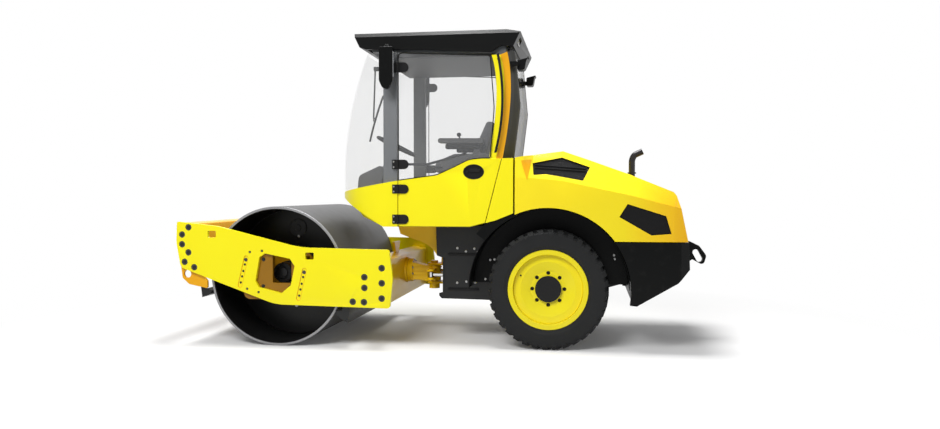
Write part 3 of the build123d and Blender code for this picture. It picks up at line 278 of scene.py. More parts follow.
# each finish: its slot in the library, the maker of its material and the maker's values
finishes = {
    "yellow": ("yellow_paint", sprayPaint, (0.97, 0.87, 0.005), (0.95, 0.78, 0.004)),
    # bonnet paint; its last value paints shade towards the bonnet's rear
    "bonnetYellow": ("bonnet_paint", sprayPaint, (0.95, 0.78, 0.012), (0.92, 0.68, 0.008), 0.3,
                     (-1.55, 0.5, (0.93, 0.50, 0.006))),
    "rimYellow": ("rim_paint", sprayPaint, (0.95, 0.82, 0.008), (0.92, 0.68, 0.005), 0.25),
    # yellow paint with painted shade: an orange copy for faces that lie in shadow
    "amberYellow": ("yellow_paint", sprayPaint, (0.88, 0.42, 0.004), (0.80, 0.34, 0.003)),
    # yellow paint with painted half shade, for the beams, neck and yoke under the cab
    "beamYellow": ("yellow_paint", sprayPaint, (0.95, 0.62, 0.006), (0.90, 0.50, 0.004)),
    # yellow paint with painted deep shade, for the drum mounts seen through the side plates' windows
    "deepAmber": ("yellow_paint", sprayPaint, (0.26, 0.12, 0.002), (0.40, 0.19, 0.003)),
    "frameBlack": ("black_paint", frameBlack),
    "bodyBlack": ("black_paint", frameBlack, (0.003, 0.0033, 0.0033), 0.34, 0.09),
    "drumInside": ("drum_paint", frameBlack, (0.0045, 0.0045, 0.005), 0.3, 0.22),
    "glossBlack": ("gloss_black", glossBlack),
    "blackPlastic": ("black_plastic", grainPlastic, (0.004, 0.004, 0.0042), (0.010, 0.010, 0.011)),
    "greyPlastic": ("grey_plastic", grainPlastic, (0.07, 0.07, 0.073), (0.11, 0.11, 0.115)),
    "greyTrim": ("grey_trim", grainPlastic, (0.10, 0.108, 0.117), (0.13, 0.138, 0.147), 0.4, 700.0),
    "darkTrim": ("grey_trim", grainPlastic, (0.03, 0.03, 0.032), (0.045, 0.045, 0.048), 0.5, 700.0),
    "capGrey": ("black_plastic", grainPlastic, (0.055, 0.055, 0.056), (0.075, 0.075, 0.076), 0.5),
    # a dark grey painted where the rear pane looks dark seen edge-on: the pane's side band and the post's
    # back strip
    "darkGlass": ("cab_glass", grainPlastic, (0.045, 0.045, 0.042), (0.06, 0.06, 0.056), 0.35, 300.0, 0.08),
    "sealRubber": ("black_rubber", rubber),
    "drumSteel": ("drum_steel", drumSteel, drumCentre),
    "edgeSteel": ("drum_steel", plainSteel, (0.33, 0.33, 0.34), 0.4, 0.5),
    "boltSteel": ("chrome_rod", plainSteel, (0.42, 0.42, 0.42), 0.35, 0.8),
    "darkSteel": ("black_paint", plainSteel, (0.02, 0.02, 0.021), 0.4, 0.5),
    "chrome": ("chrome_rod", plainSteel, (0.72, 0.73, 0.75), 0.08),
    "engineIron": ("engine_iron", plainSteel, (0.03, 0.03, 0.033), 0.5, 0.4),
    "exhaustSteel": ("exhaust_steel", plainSteel, (0.02, 0.018, 0.020), 0.2, 0.5),
    "mirrorGlass": ("chrome_rod", plainSteel, (0.85, 0.87, 0.9), 0.03),
    "glass": ("cab_glass", tintedGlass),
    "rearGlass": ("cab_glass", tintedGlass, 0.45, 0.10),
    "tyreRubber": ("tyre_rubber", tyreRubber),
    "seatCloth": ("seat_fabric", wovenCloth, (0.075, 0.076, 0.08), (0.12, 0.12, 0.13)),
    "ventMesh": ("grille_black", meshPanel),
    "lampLens": ("cab_glass", lampLens),
}
look = {finish: make(finish, *values) for finish, (slot, make, *values) in finishes.items()}
print("materials made:", len(look))


def keep(piece, finish, body="rear_frame", *stoodFor):
    # dresses a finished piece and ties it to its body
    if not piece.data.materials:
        piece.data.materials.append(look[finish])
    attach(piece, body)
    if stoodFor:
        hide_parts(*stoodFor)


def meshObject(name, shape, smoothAngle=0.6):
    data = bpy.data.meshes.new(name)
    shape.normal_update()
    shape.to_mesh(data)
    shape.free()
    piece = bpy.data.objects.new(name, data)
    bpy.context.scene.collection.objects.link(piece)
    if smoothAngle:
        smoothed(data, smoothAngle)
    return piece


def smoothed(data, angle):
    data.shade_smooth()
    data.set_sharp_from_angle(angle=angle)


def closedUp(name, shape, smoothAngle=0.6):
    # a finished shape with its faces turned outwards
    bmesh.ops.recalc_face_normals(shape, faces=shape.faces)
    return meshObject(name, shape, smoothAngle)


def baked(piece):
    # the piece with its modifiers made real
    depsgraph = bpy.context.evaluated_depsgraph_get()
    data = bpy.data.meshes.new_from_object(piece.evaluated_get(depsgraph))
    piece.modifiers.clear()
    piece.data = data
    return piece


def softened(piece, width, segments=2, angle=0.55):
    bevel = piece.modifiers.new("edges", "BEVEL")
    bevel.width = width
    bevel.segments = segments
    bevel.limit_method = "ANGLE"
    bevel.angle_limit = angle
    bevel.harden_normals = True
    return baked(piece)


def dressed(node, finish, width):
    # a CAD node's mesh, merged, cleaned of flat edges and with its corners rounded
    shape = bmesh.new()
    shape.from_mesh(frame["nodes"][node].data)
    bmesh.ops.remove_doubles(shape, verts=shape.verts, dist=1e-5)
    bmesh.ops.dissolve_limit(shape, angle_limit=0.01, verts=shape.verts, edges=shape.edges)
    piece = softened(meshObject(node + "_dressed", shape), width)
    keep(piece, finish, frame["nodes"][node]["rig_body"], node)


def plain(node, finish):
    # a CAD node shown as it is, with a new finish
    data = frame["nodes"][node].data
    data.materials.clear()
    data.materials.append(look[finish])
    smoothed(data, 0.6)


def bridged(shape, rings, looped=False):
    # faces between neighbouring rings of vertices; a looped run joins its last ring to its first
    count = len(rings[0])
    for near, far in zip(rings, rings[1:] + (rings[:1] if looped else [])):
        for k in range(count):
            shape.faces.new((near[k], near[(k + 1) % count], far[(k + 1) % count], far[k]))


def capped(shape, rings):
    # flat ends on a run of rings
    shape.faces.new(list(reversed(rings[0])))
    shape.faces.new(rings[-1])


def circle(centre, size, count, first=0.0):
    # points round an ellipse of two half widths, or round a circle, the first at a share of a step
    wide, high = size if isinstance(size, tuple) else (size, size)
    turns = [2 * math.pi * (k + first) / count for k in range(count)]
    return [(centre[0] + wide * math.cos(a), centre[1] + high * math.sin(a)) for a in turns]


def lathe(name, profile, centre, side, steps):
    # turns a closed outline of (radius, y) points round the Y axis through centre (x, z)
    shape = bmesh.new()
    rings = [[shape.verts.new((centre[0] + radius * x, side * y, centre[1] + radius * z))
              for radius, y in profile] for x, z in circle((0, 0), 1, steps)]
    bridged(shape, rings, True)
    bmesh.ops.remove_doubles(shape, verts=shape.verts, dist=1e-6)
    return closedUp(name, shape)


def slab(name, outline, span, across="Y"):
    # a flat outline given depth along one axis; outline holds the other two coordinates in order
    shape = bmesh.new()
    order = {"X": lambda a, b, d: (d, a, b), "Y": lambda a, b, d: (a, d, b), "Z": lambda a, b, d: (a, b, d)}
    low, high = [[shape.verts.new(order[across](a, b, depth)) for a, b in outline] for depth in sorted(span)]
    shape.faces.new(low)
    shape.faces.new(list(reversed(high)))
    for k in range(len(outline)):
        after = (k + 1) % len(outline)
        shape.faces.new((low[k], high[k], high[after], low[after]))
    return closedUp(name, shape)


def rectangle(first, second):
    # the outline between two limits of each coordinate
    return [(first[0], second[0]), (first[1], second[0]), (first[1], second[1]), (first[0], second[1])]


def block(name, x, y, z, bevel=0.0, segments=2):
    # an upright box between two limits each way, its edges rounded
    piece = slab(name, rectangle(x, z), y)
    return softened(piece, bevel, segments) if bevel else piece


def merged(name, pieces):
    # several meshes as one
    shape = bmesh.new()
    for piece in pieces:
        shape.from_mesh(piece.data)
        bpy.data.objects.remove(piece)
    return meshObject(name, shape)


def shares(count):
    return [k / count for k in range(count + 1)]


def between(a, b, t):
    return tuple(p + (q - p) * t for p, q in zip(a, b))


def mirrored(points, side):
    return [(x, side * y, z) for x, y, z in points]


def rounded(points, radius, steps=4):
    # a path through points with its corners turned by arcs
    points = [Vector(p) for p in points]
    path = [points[0]]
    for before, corner, after in zip(points, points[1:], points[2:]):
        reach = min(radius, (before - corner).length * 0.45, (after - corner).length * 0.45)
        start = corner + (before - corner).normalized() * reach
        end = corner + (after - corner).normalized() * reach
        path += [start.lerp(corner, t).lerp(corner.lerp(end, t), t) for t in shares(steps)]
    return path + [points[-1]]


def arcThrough(low, mid, high, steps):
    # points of the smooth curve through three points
    low, mid, high = Vector(low), Vector(mid), Vector(high)
    knee = mid * 2 - (low + high) / 2
    return [low.lerp(knee, t).lerp(knee.lerp(high, t), t) for t in shares(steps)]


def tube(name, path, radius, corners=10, ends=True):
    # a round section carried along a path
    shape = bmesh.new()
    path = [Vector(p) for p in path]
    rings = []
    side = None
    for before, point, after in zip(path[:1] + path, path, path[1:] + path[-1:]):
        ahead = (after - before).normalized()
        if side is None:
            side = ahead.orthogonal().normalized()
        side = (side - ahead * side.dot(ahead)).normalized()
        other = ahead.cross(side)
        rings.append([shape.verts.new(point + (side * a + other * b) * radius)
                      for a, b in circle((0, 0), 1, corners)])
    bridged(shape, rings)
    if ends:
        capped(shape, rings)
    return closedUp(name, shape, 0.8)


def strip(name, rows, thick, inward, finishes):
    # a sheet through rows of points, thickened along one direction; finishes go by column
    shape = bmesh.new()
    way = Vector(inward).normalized() * thick
    layers = [[[shape.verts.new(Vector(p) + push) for p in row] for row in rows] for push in (Vector(), way)]
    outer, inner = layers
    high, wide = len(rows) - 1, len(rows[0]) - 1
    for i in range(high):
        for k in range(wide):
            for layer in layers:
                face = shape.faces.new((layer[i][k], layer[i][k + 1], layer[i + 1][k + 1], layer[i + 1][k]))
                face.material_index = min(k, len(finishes) - 1)
    edge = ([(0, k) for k in range(wide + 1)] + [(i, wide) for i in range(1, high + 1)] +
            [(high, k) for k in range(wide - 1, -1, -1)] + [(i, 0) for i in range(high - 1, 0, -1)])
    for (i, k), (m, n) in zip(edge, edge[1:] + edge[:1]):
        shape.faces.new((outer[i][k], outer[m][n], inner[m][n], inner[i][k]))
    piece = closedUp(name, shape, 0.5)
    for finish in finishes:
        piece.data.materials.append(look[finish])
    return piece


def surfaceTree(node):
    # a CAD node's surface, ready to be met by rays
    shape = bmesh.new()
    shape.from_mesh(frame["nodes"][node].data)
    found = BVHTree.FromBMesh(shape)
    shape.free()
    return found


def seenOn(tree, start, way):
    # the first point of a surface met from start along way
    found = tree.ray_cast(Vector(start), Vector(way))[0]
    return found if found is not None else Vector(start) + Vector(way)


def onFlank(tree, x, z, side, off=0.0):
    # a point on a surface seen from the machine's side, lifted off it
    return seenOn(tree, (x, side * 2, z), (0, -side, 0)) + Vector((0, side * off, 0))


def outermost(trees, x, z, side):
    # the outermost of several surfaces at a place on the machine's side, within its width
    found = [onFlank(tree, x, z, side) for tree in trees]
    return max(found, key=lambda p: side * p.y if abs(p.y) < 0.95 else -1)


class Patch(NodeTree):
    # one geometry node tree with named inputs
    def __init__(self, name, inputs):
        super().__init__(bpy.data.node_groups.new(name, "GeometryNodeTree"))
        self.keys = {label: self.socket(label, "INPUT", kind).identifier
                     for label, kind in dict(Geometry="Geometry", **inputs, Finish="Material").items()}
        self.socket("Geometry", "OUTPUT", "Geometry")
        self.source = self.tree.nodes.new("NodeGroupInput")

    def socket(self, label, way, kind):
        return self.tree.interface.new_socket(label, in_out=way, socket_type="NodeSocket" + kind)

    def given(self, label):
        return Signal(self, self.source.outputs[label])

    def end(self, geometry):
        real = self.node("GeometryNodeRealizeInstances", None, {0: geometry})
        done = self.node("GeometryNodeSetMaterial", None, {0: real, "Material": self.given("Finish")})
        self.feed(self.tree.nodes.new("NodeGroupOutput").inputs[0], done)

    def run(self, piece, values):
        modifier = piece.modifiers.new("pattern", "NODES")
        modifier.node_group = self.tree
        for label, value in values.items():
            modifier[self.keys[label]] = value
        return baked(piece)


def boltPatch():
    # a hexagon or round head on a washer, at each point, along the point's facing
    p = Patch("boltsOnPoints", {"Head Radius": "Float", "Head Height": "Float", "Head Sides": "Int",
                                "Washer Radius": "Float", "Washer Height": "Float"})
    head = p.node("GeometryNodeMeshCylinder", None, {
        "Vertices": p.given("Head Sides"), "Radius": p.given("Head Radius"),
        "Depth": p.given("Head Height")}, "Mesh")
    lift = p.given("Head Height") * 0.5 + p.given("Washer Height")
    head = p.node("GeometryNodeTransform", None, {
        "Geometry": head, "Translation": p.node("ShaderNodeCombineXYZ", None, {"Z": lift})})
    washer = p.node("GeometryNodeMeshCone", None, {
        "Vertices": 16, "Radius Top": p.given("Head Radius"), "Radius Bottom": p.given("Washer Radius"),
        "Depth": p.given("Washer Height")}, "Mesh")
    both = p.node("GeometryNodeJoinGeometry")
    for mesh in (head, washer):
        p.feed(both.socket.node.inputs[0], mesh)
    facing = p.node("GeometryNodeInputNamedAttribute", {"data_type": "FLOAT_VECTOR"}, {"Name": "facing"})
    turn = p.node("FunctionNodeAlignRotationToVector", {"axis": "Z"}, {"Vector": facing})
    p.end(p.node("GeometryNodeInstanceOnPoints", None, {
        "Points": p.given("Geometry"), "Instance": both, "Rotation": turn}))
    return p


def aroundPatch():
    # copies of a mesh turned round an axis along Y
    p = Patch("copiesRoundAxle", {"Count": "Int", "Turn": "Float", "Centre": "Vector"})
    points = p.node("GeometryNodeMeshLine", None, {"Count": p.given("Count"), "Offset": (0, 0, 0)})
    pitch = p.join("DIVIDE", 2 * math.pi, p.given("Count"))
    angle = p.join("MULTIPLY_ADD", p.node("GeometryNodeInputIndex"), pitch, p.given("Turn"))
    placed = p.node("GeometryNodeInstanceOnPoints", None, {
        "Points": points, "Instance": p.given("Geometry"),
        "Rotation": p.node("ShaderNodeCombineXYZ", None, {"Y": angle})})
    p.end(p.node("GeometryNodeTransform", None, {"Geometry": placed, "Translation": p.given("Centre")}))
    return p


bolts = boltPatch()
around = aroundPatch()
print("pattern groups made")


def bolt(radius, height, washer=1.35, corners=6):
    return {"Head Radius": radius, "Head Height": height, "Head Sides": corners,
            "Washer Radius": radius * washer, "Washer Height": height * 0.25}


def boltRow(name, finish, body, size, places):
    # places: (point, facing); size: the patch's named inputs
    shape = bmesh.new()
    layer = shape.verts.layers.float_vector.new("facing")
    for point, facing in places:
        shape.verts.new(point)[layer] = facing
    piece = meshObject(name, shape, None)
    bolts.run(piece, dict(size, Finish=look[finish]))
    piece.data.set_sharp_from_angle(angle=0.5)
    keep(piece, finish, body)


def flankBolts(name, finish, body, size, y, places):
    # bolts at (x, z) places on an upright plane and on its mirror image, facing out
    for label, side in sides.items():
        boltRow(name + label, finish, body, size, [((x, side * y, z), (0, side, 0)) for x, z in places])


def bothSides(names):
    # a name that ends in an underscore stands for its left and its right node
    return [name + label for name in names.split() for label in (sides if name.endswith("_") else ("",))]


# finish, width of the rounded edge, CAD nodes
edgedNodes = (
    ("yellow", 0.004, "side_plate_ cab_base"), ("yellow", 0.005, "door_panel_"),
    # the front beam, rear beam, neck, yoke and drum mounts are yellow with painted shade of three depths
    ("amberYellow", 0.005, "front_beam"), ("beamYellow", 0.005, "rear_beam"), ("beamYellow", 0.004, "neck"),
    ("beamYellow", 0.003, "yoke"), ("deepAmber", 0.004, "drum_mount_"), ("bonnetYellow", 0.006, "bonnet"),
    ("frameBlack", 0.002, "scrapers"), ("frameBlack", 0.003, "chassis"), ("bodyBlack", 0.003, "fender_"),
    ("bodyBlack", 0.006, "rear_body"), ("bodyBlack", 0.012, "mirrors"), ("glossBlack", 0.004, "lamps"),
    ("glossBlack", 0.006, "roof"), ("engineIron", 0.006, "engine"), ("greyTrim", 0.005, "cab_frame"),
    ("greyPlastic", 0.006, "seat_base"), ("greyPlastic", 0.008, "dashboard"))
plainNodes = {
    "drumInside": "drum_heads", "sealRubber": "drum_buffers", "chrome": "steer_rod_", "rimYellow": "rim_",
    "frameBlack": "drum_motor_ steer_barrel_ rear_axle bonnet_hinges", "rearGlass": "rear_window",
    "blackPlastic": "hub_ door_fittings_ steering_wheel grab_rails", "glass": "windscreen door_glass_",
    "ventMesh": "bonnet_grilles"}
for finish, width, names in edgedNodes:
    for node in bothSides(names):
        dressed(node, finish, width)
for finish, names in plainNodes.items():
    for node in bothSides(names):
        plain(node, finish)
print("construction pieces dressed")


# the drum's shell with its cut edges, and what is welded and bolted to its heads
drumSizes = {"r": 0.6095, "half": 0.843, "wall": 0.025, "chamfer": 0.004, "steps": 192,
             "weld": ((0.580, 0.374), (0.580, 0.379), (0.584, 0.382), (0.584, 0.374)),
             "cover": ((0.0, 0.3755), (0.083, 0.3755), (0.083, 0.381), (0.079, 0.384), (0.030, 0.384),
                       (0.026, 0.390), (0.0, 0.390)),
             "coverPlace": (1.403, 1.014), "boltRing": 0.066, "boltFace": 0.384,
             "plugs": ((1.400, 0.937), (1.425, 0.285)), "plugFace": 0.3755}
shellOut, shellIn = drumSizes["r"], drumSizes["r"] - drumSizes["wall"]
cut, halfWide = drumSizes["chamfer"], drumSizes["half"]
drumProfile = [(shellOut, -halfWide + cut), (shellOut, halfWide - cut), (shellOut - cut, halfWide),
               (shellIn + cut, halfWide), (shellIn, halfWide - cut), (shellIn, 0.0),
               (shellIn, -halfWide + cut), (shellIn + cut, -halfWide), (shellOut - cut, -halfWide)]
drumSkin = lathe("drum_skin", drumProfile, drumCentre, 1, drumSizes["steps"])
for finish in ("drumSteel", "edgeSteel", "drumInside"):
    drumSkin.data.materials.append(look[finish])
for face in drumSkin.data.polygons:
    far = math.hypot(face.center.x - drumCentre[0], face.center.z - drumCentre[1])
    if far < shellIn + cut / 2:
        face.material_index = 2
    elif far < shellOut - cut / 4:
        face.material_index = 1
keep(drumSkin, "drumSteel", "drum", "drum_shell")
for label, side in sides.items():
    keep(lathe("head_weld_" + label, drumSizes["weld"], drumCentre, side, 160), "drumInside", "drum")
    keep(lathe("head_cover_" + label, drumSizes["cover"], drumSizes["coverPlace"], side, 48),
         "darkSteel", "drum")
flankBolts("head_cover_bolts_", "darkSteel", "drum", bolt(0.007, 0.005), drumSizes["boltFace"],
           circle(drumSizes["coverPlace"], drumSizes["boltRing"], 6))
flankBolts("head_plugs_", "boltSteel", "drum", bolt(0.011, 0.007), drumSizes["plugFace"], drumSizes["plugs"])
print("drum done")


# caps, bolts and slots of the side plates, and what shows in their windows
plateSizes = {"cap": ((0.0, 0.9012), (0.0285, 0.9012), (0.0285, 0.9045), (0.024, 0.9065), (0.0, 0.9065)),
              "capPlaces": ((2.209, 1.034), (2.270, 0.970), (2.271, 0.884), (2.212, 0.813), (2.248, 0.729),
                            (2.158, 0.683), (0.459, 0.699), (0.611, 0.620), (0.459, 0.571), (0.611, 0.529),
                            (0.460, 0.441), (0.615, 0.407), (0.714, 0.409)), "capFace": 0.9065,
              "smallPlaces": ((1.639, 0.823), (1.528, 0.834), (1.666, 0.502), (1.561, 0.475)),
              "smallFace": 0.900}
slotSizes = {"lines": (((1.674, 0.772), (1.732, 0.532)), ((1.144, 0.671), (1.199, 0.427))), "floor": 0.9042,
             "rim": ((0.0165, 0.9043), (0.0175, 0.9096), (0.0197, 0.9096), (0.0197, 0.9043)), "thick": 0.0004,
             "bolts": {"capGrey": (0.013, (0.07,)), "darkSteel": (0.008, (0.24, 0.48, 0.68, 0.90))}}
motorSizes = {"place": (1.420, 0.6295), "boltRing": 0.074, "bolts": 8, "face": 0.714,
              "cover": ((0.0, 0.714), (0.050, 0.714), (0.048, 0.728), (0.030, 0.734), (0.0, 0.734)),
              "mountPlaces": ((1.525, 0.758), (1.530, 0.524), (1.285, 0.520), (1.600, 0.640)),
              "mountFace": 0.880}


def slotRing(line, r, y):
    # a long hole's outline: half a turn at each end of its line
    (x0, z0), (x1, z1) = line
    lean = math.atan2(z1 - z0, x1 - x0)
    turns = [(x, z, lean + math.radians(first + 180 * t)) for x, z, first in ((x1, z1, -90), (x0, z0, 90))
             for t in shares(10)]
    ring = [(x + r * math.cos(a), y, z + r * math.sin(a)) for x, z, a in turns]
    return ring + ring[:1]


for label, side in sides.items():
    caps = [lathe("cap", plateSizes["cap"], place, side, 32) for place in plateSizes["capPlaces"]]
    keep(merged("plate_caps_" + label, caps), "capGrey", "drum_frame")
    for which, line in enumerate(slotSizes["lines"]):
        rings = [slotRing(line, r, side * y) for r, y in slotSizes["rim"]]
        # the slot's rim: yellow with painted shade on the slot's walls
        keep(strip("slot_rim_%s_%d" % (label, which), rings + rings[:1], slotSizes["thick"], (0, -side, 0),
                   ("amberYellow",)), "amberYellow", "drum_frame")
        for part, (finish, (radius, places)) in enumerate(slotSizes["bolts"].items()):
            boltRow("slot_bolts_%s_%d_%d" % (label, which, part), finish, "drum_frame",
                    bolt(radius, 0.004, 1.25, 12), [((x, side * slotSizes["floor"], z), (0, side, 0))
                                                    for x, z in (between(*line, t) for t in places)])
    keep(lathe("motor_cover_" + label, motorSizes["cover"], motorSizes["place"], side, 40),
         "darkSteel", "drum_frame")
flankBolts("plate_cap_heads_", "darkSteel", "drum_frame", bolt(0.014, 0.0025, 1.2), plateSizes["capFace"],
           plateSizes["capPlaces"])
flankBolts("plate_bolts_", "capGrey", "drum_frame", bolt(0.0085, 0.007, 1.2), plateSizes["smallFace"],
           plateSizes["smallPlaces"])
flankBolts("motor_bolts_", "darkSteel", "drum_frame", bolt(0.009, 0.008), motorSizes["face"],
           circle(motorSizes["place"], motorSizes["boltRing"], motorSizes["bolts"], 0.25))
flankBolts("mount_bolts_", "darkSteel", "drum_frame", bolt(0.012, 0.008, 1.4), motorSizes["mountFace"],
           motorSizes["mountPlaces"])
print("drum frame fittings done")


# wall: radius and share of the half width, from the tread's middle to a bead;
# lug: share of the half width, lead in pitches, thickness, radius of the top and of the foot
tyreSizes = {"centre": (-0.930, 0.513), "middle": 0.565, "half": 0.15, "r": 0.513, "lugs": 36, "slope": 0.004,
             "wall": ((0.498, 0.0), (0.498, 0.70), (0.492, 0.86), (0.476, 0.965), (0.448, 0.985),
                      (0.415, 0.975), (0.393, 0.985), (0.375, 0.965), (0.357, 0.88), (0.345, 0.84)),
             "lug": ((0.05, 0.25, 0.030, 0.512, 0.494), (0.45, 0.0, 0.042, 0.512, 0.494),
                     (0.84, -0.25, 0.050, 0.510, 0.486), (0.99, -0.31, 0.046, 0.479, 0.453)),
             "valve": ((-0.705, 0.612, 0.623), (-0.695, 0.650, 0.631)), "valveR": 0.006}


def carcass(name, side):
    # the tyre's smooth body: base of the tread, shoulders, bulged walls and beads
    middle, half, wall = tyreSizes["middle"], tyreSizes["half"], tyreSizes["wall"]
    profile = [(radius, middle + half * share) for radius, share in wall]
    profile += [(radius, middle - half * share) for radius, share in reversed(wall[1:])]
    return lathe(name, profile, tyreSizes["centre"], side, 144)


def lugShape(name, away):
    # one slanting tread block from the middle to a shoulder, at the top of a wheel centred on the origin
    pitch = 2 * math.pi * tyreSizes["r"] / tyreSizes["lugs"]
    shape = bmesh.new()
    rows = []
    for share, lead, thick, top, foot in tyreSizes["lug"]:
        x, y, half = lead * pitch, away * share * tyreSizes["half"], thick / 2
        bend = x * x / (2 * tyreSizes["r"])
        low = half + tyreSizes["slope"]
        rows.append([shape.verts.new(p) for p in ((x - low, y, foot - bend), (x - half, y, top - bend),
                                                  (x + half, y, top - bend), (x + low, y, foot - bend))])
    bridged(shape, rows)
    capped(shape, rows)
    return closedUp(name, shape, None)


for label, side in sides.items():
    x, z = tyreSizes["centre"]
    tread = [carcass("body", side)]
    for away, phase in ((1, 0.0), (-1, 0.5)):
        lugs = lugShape("lugs", away)
        around.run(lugs, {"Count": tyreSizes["lugs"], "Turn": phase * 2 * math.pi / tyreSizes["lugs"],
                          "Centre": (x, side * tyreSizes["middle"], z), "Finish": look["tyreRubber"]})
        tread.append(lugs)
    tyre = merged("tyre_tread_" + label, tread)
    tyre.data.set_sharp_from_angle(angle=0.45)
    keep(tyre, "tyreRubber", "wheel_%s_body" % label, "tyre_" + label)
    keep(tube("valve_" + label, mirrored(tyreSizes["valve"], side), tyreSizes["valveR"], 8),
         "sealRubber", "wheel_%s_body" % label)
print("tyres done")


# the cab's rear posts: yellow covers folded back to a facet in painted shade, and a dark band painted on the
# rear window's sides for how dark the pane looks seen edge-on
postSizes = {"front": ((-0.442, 0.632, 2.520), (-0.484, 0.632, 2.160), (-0.418, 0.632, 1.630)),
             "fold": ((-0.518, 0.634, 2.520), (-0.553, 0.634, 2.160), (-0.481, 0.634, 1.630)),
             "back": ((-0.576, 0.628, 2.545), (-0.606, 0.628, 2.160), (-0.536, 0.628, 1.630)),
             "pane": ((-0.596, 0.556, 2.560), (-0.628, 0.556, 2.160), (-0.566, 0.556, 1.632)), "thick": 0.004,
             "steps": 16}
paneDarkSizes = {"low": 1.640, "rise": 0.0585, "y": (0.557, 0.530, 0.500, 0.465, 0.430, 0.400),
               "off": (-0.0015, 0, 0), "thick": 0.001}
rearPane = surfaceTree("rear_window")
for label, side in sides.items():
    lines = [arcThrough(*mirrored(postSizes[key], side), postSizes["steps"])
             for key in ("front", "fold", "back", "pane")]
    # columns: yellow, the back facet in painted shade, and a strip painted dark from the post to the pane
    keep(strip("post_cover_" + label, list(zip(*lines)), postSizes["thick"], (0.3, -side, 0),
               ("yellow", "amberYellow", "darkGlass")), "yellow")
    # a dark band painted on the pane's sides, standing for how dark the pane looks seen edge-on
    rows = [[seenOn(rearPane, (-3, side * y, paneDarkSizes["low"] + k * paneDarkSizes["rise"]), (1, 0, 0)) +
             Vector(paneDarkSizes["off"]) for y in paneDarkSizes["y"]] for k in range(postSizes["steps"] + 1)]
    keep(strip("rear_pane_painted_dark_" + label, rows, paneDarkSizes["thick"], (1, 0, 0), ("darkGlass",)),
         "darkGlass")
print("rear posts done")


hingeSizes = {"x": (0.384, 0.432), "y": (0.6502, 0.6565), "edge": 0.002, "boltX": 0.418, "boltIn": 0.018,
              "levels": ((1.065, 1.147), (1.331, 1.410), (1.544, 1.627), (2.386, 2.472))}
for label, side in sides.items():
    for level, span in enumerate(hingeSizes["levels"]):
        keep(block("hinge_plate_%s_%d" % (label, level), hingeSizes["x"], [side * y for y in hingeSizes["y"]],
                   span, hingeSizes["edge"]), "blackPlastic")
flankBolts("hinge_bolts_", "boltSteel", "rear_frame", bolt(0.0055, 0.004, 1.3), hingeSizes["y"][1], [
    (hingeSizes["boltX"], z) for low, high in hingeSizes["levels"]
    for z in (low + hingeSizes["boltIn"], high - hingeSizes["boltIn"])])
print("door hinges done")


# a door's oval latch: dish, raised rim, paddle and lock; rim holds (growth, y)
latchSizes = {"centre": (-0.288, 1.518), "half": (0.082, 0.056), "dish": (0.6375, 0.6395),
              "rim": ((0.0, 0.6375), (0.0, 0.6525), (0.009, 0.6525), (0.009, 0.6501)),
              "paddle": ((-0.348, -0.252), (0.640, 0.654), (1.514, 1.544)), "edge": 0.005,
              "lock": ((0.0, 0.640), (0.012, 0.640), (0.012, 0.651), (0.009, 0.653), (0.0, 0.653)),
              "lockPlace": (-0.230, 1.518)}
for label, side in sides.items():
    centre, (wide, high) = latchSizes["centre"], latchSizes["half"]
    dish = slab("dish", circle(centre, (wide, high), 40), [side * y for y in latchSizes["dish"]])
    shape = bmesh.new()
    rings = [[shape.verts.new((x, side * y, z)) for x, z in circle(centre, (wide + grow, high + grow), 40)]
             for grow, y in latchSizes["rim"]]
    bridged(shape, rings, True)
    rim = closedUp("rim", shape)
    x, y, z = latchSizes["paddle"]
    paddle = block("paddle", x, [side * depth for depth in y], z, latchSizes["edge"], 3)
    lock = lathe("lock", latchSizes["lock"], latchSizes["lockPlace"], side, 24)
    keep(merged("latch_" + label, [dish, rim, paddle, lock]), "blackPlastic", "door_%s_body" % label)
print("latches done")


# a wiper arm from the middle of the roof's front to a blade standing on the right of the windscreen
wiperSizes = {"pivot": (0.04, 2.535), "hub": (-0.42, 2.10), "top": (-0.455, 2.33), "foot": (-0.385, 1.86),
              "armOff": (0.030, 0.034), "bladeOff": 0.010, "arm": 0.008, "twin": 0.0056, "blade": 0.011,
              "clip": 0.009, "cap": 0.022, "drop": (0, 0, -0.03),
              "capEnds": ((-0.03, 0, -0.012), (0.012, 0, -0.012))}
screen = surfaceTree("windscreen")


def onScreen(y, z, off):
    return seenOn(screen, (3, y, z), (-1, 0, 0)) + Vector((off, 0, 0))


pivotOff, hubOff = wiperSizes["armOff"]
pivot, hub = onScreen(*wiperSizes["pivot"], pivotOff), onScreen(*wiperSizes["hub"], hubOff)
arm = [pivot.lerp(hub, t) for t in shares(8)]
blade = [onScreen(*between(wiperSizes["top"], wiperSizes["foot"], t), wiperSizes["bladeOff"])
         for t in shares(12)]
wiper = [tube("arm", arm, wiperSizes["arm"], 8),
         tube("twin", [p + Vector(wiperSizes["drop"]) for p in arm], wiperSizes["twin"], 8),
         tube("blade", blade, wiperSizes["blade"], 6),
         tube("cap", [pivot + Vector(off) for off in wiperSizes["capEnds"]], wiperSizes["cap"], 16),
         tube("clip", [blade[6], arm[-1]], wiperSizes["clip"], 8)]
keep(merged("wiper_front", wiper), "blackPlastic")
print("wiper done")


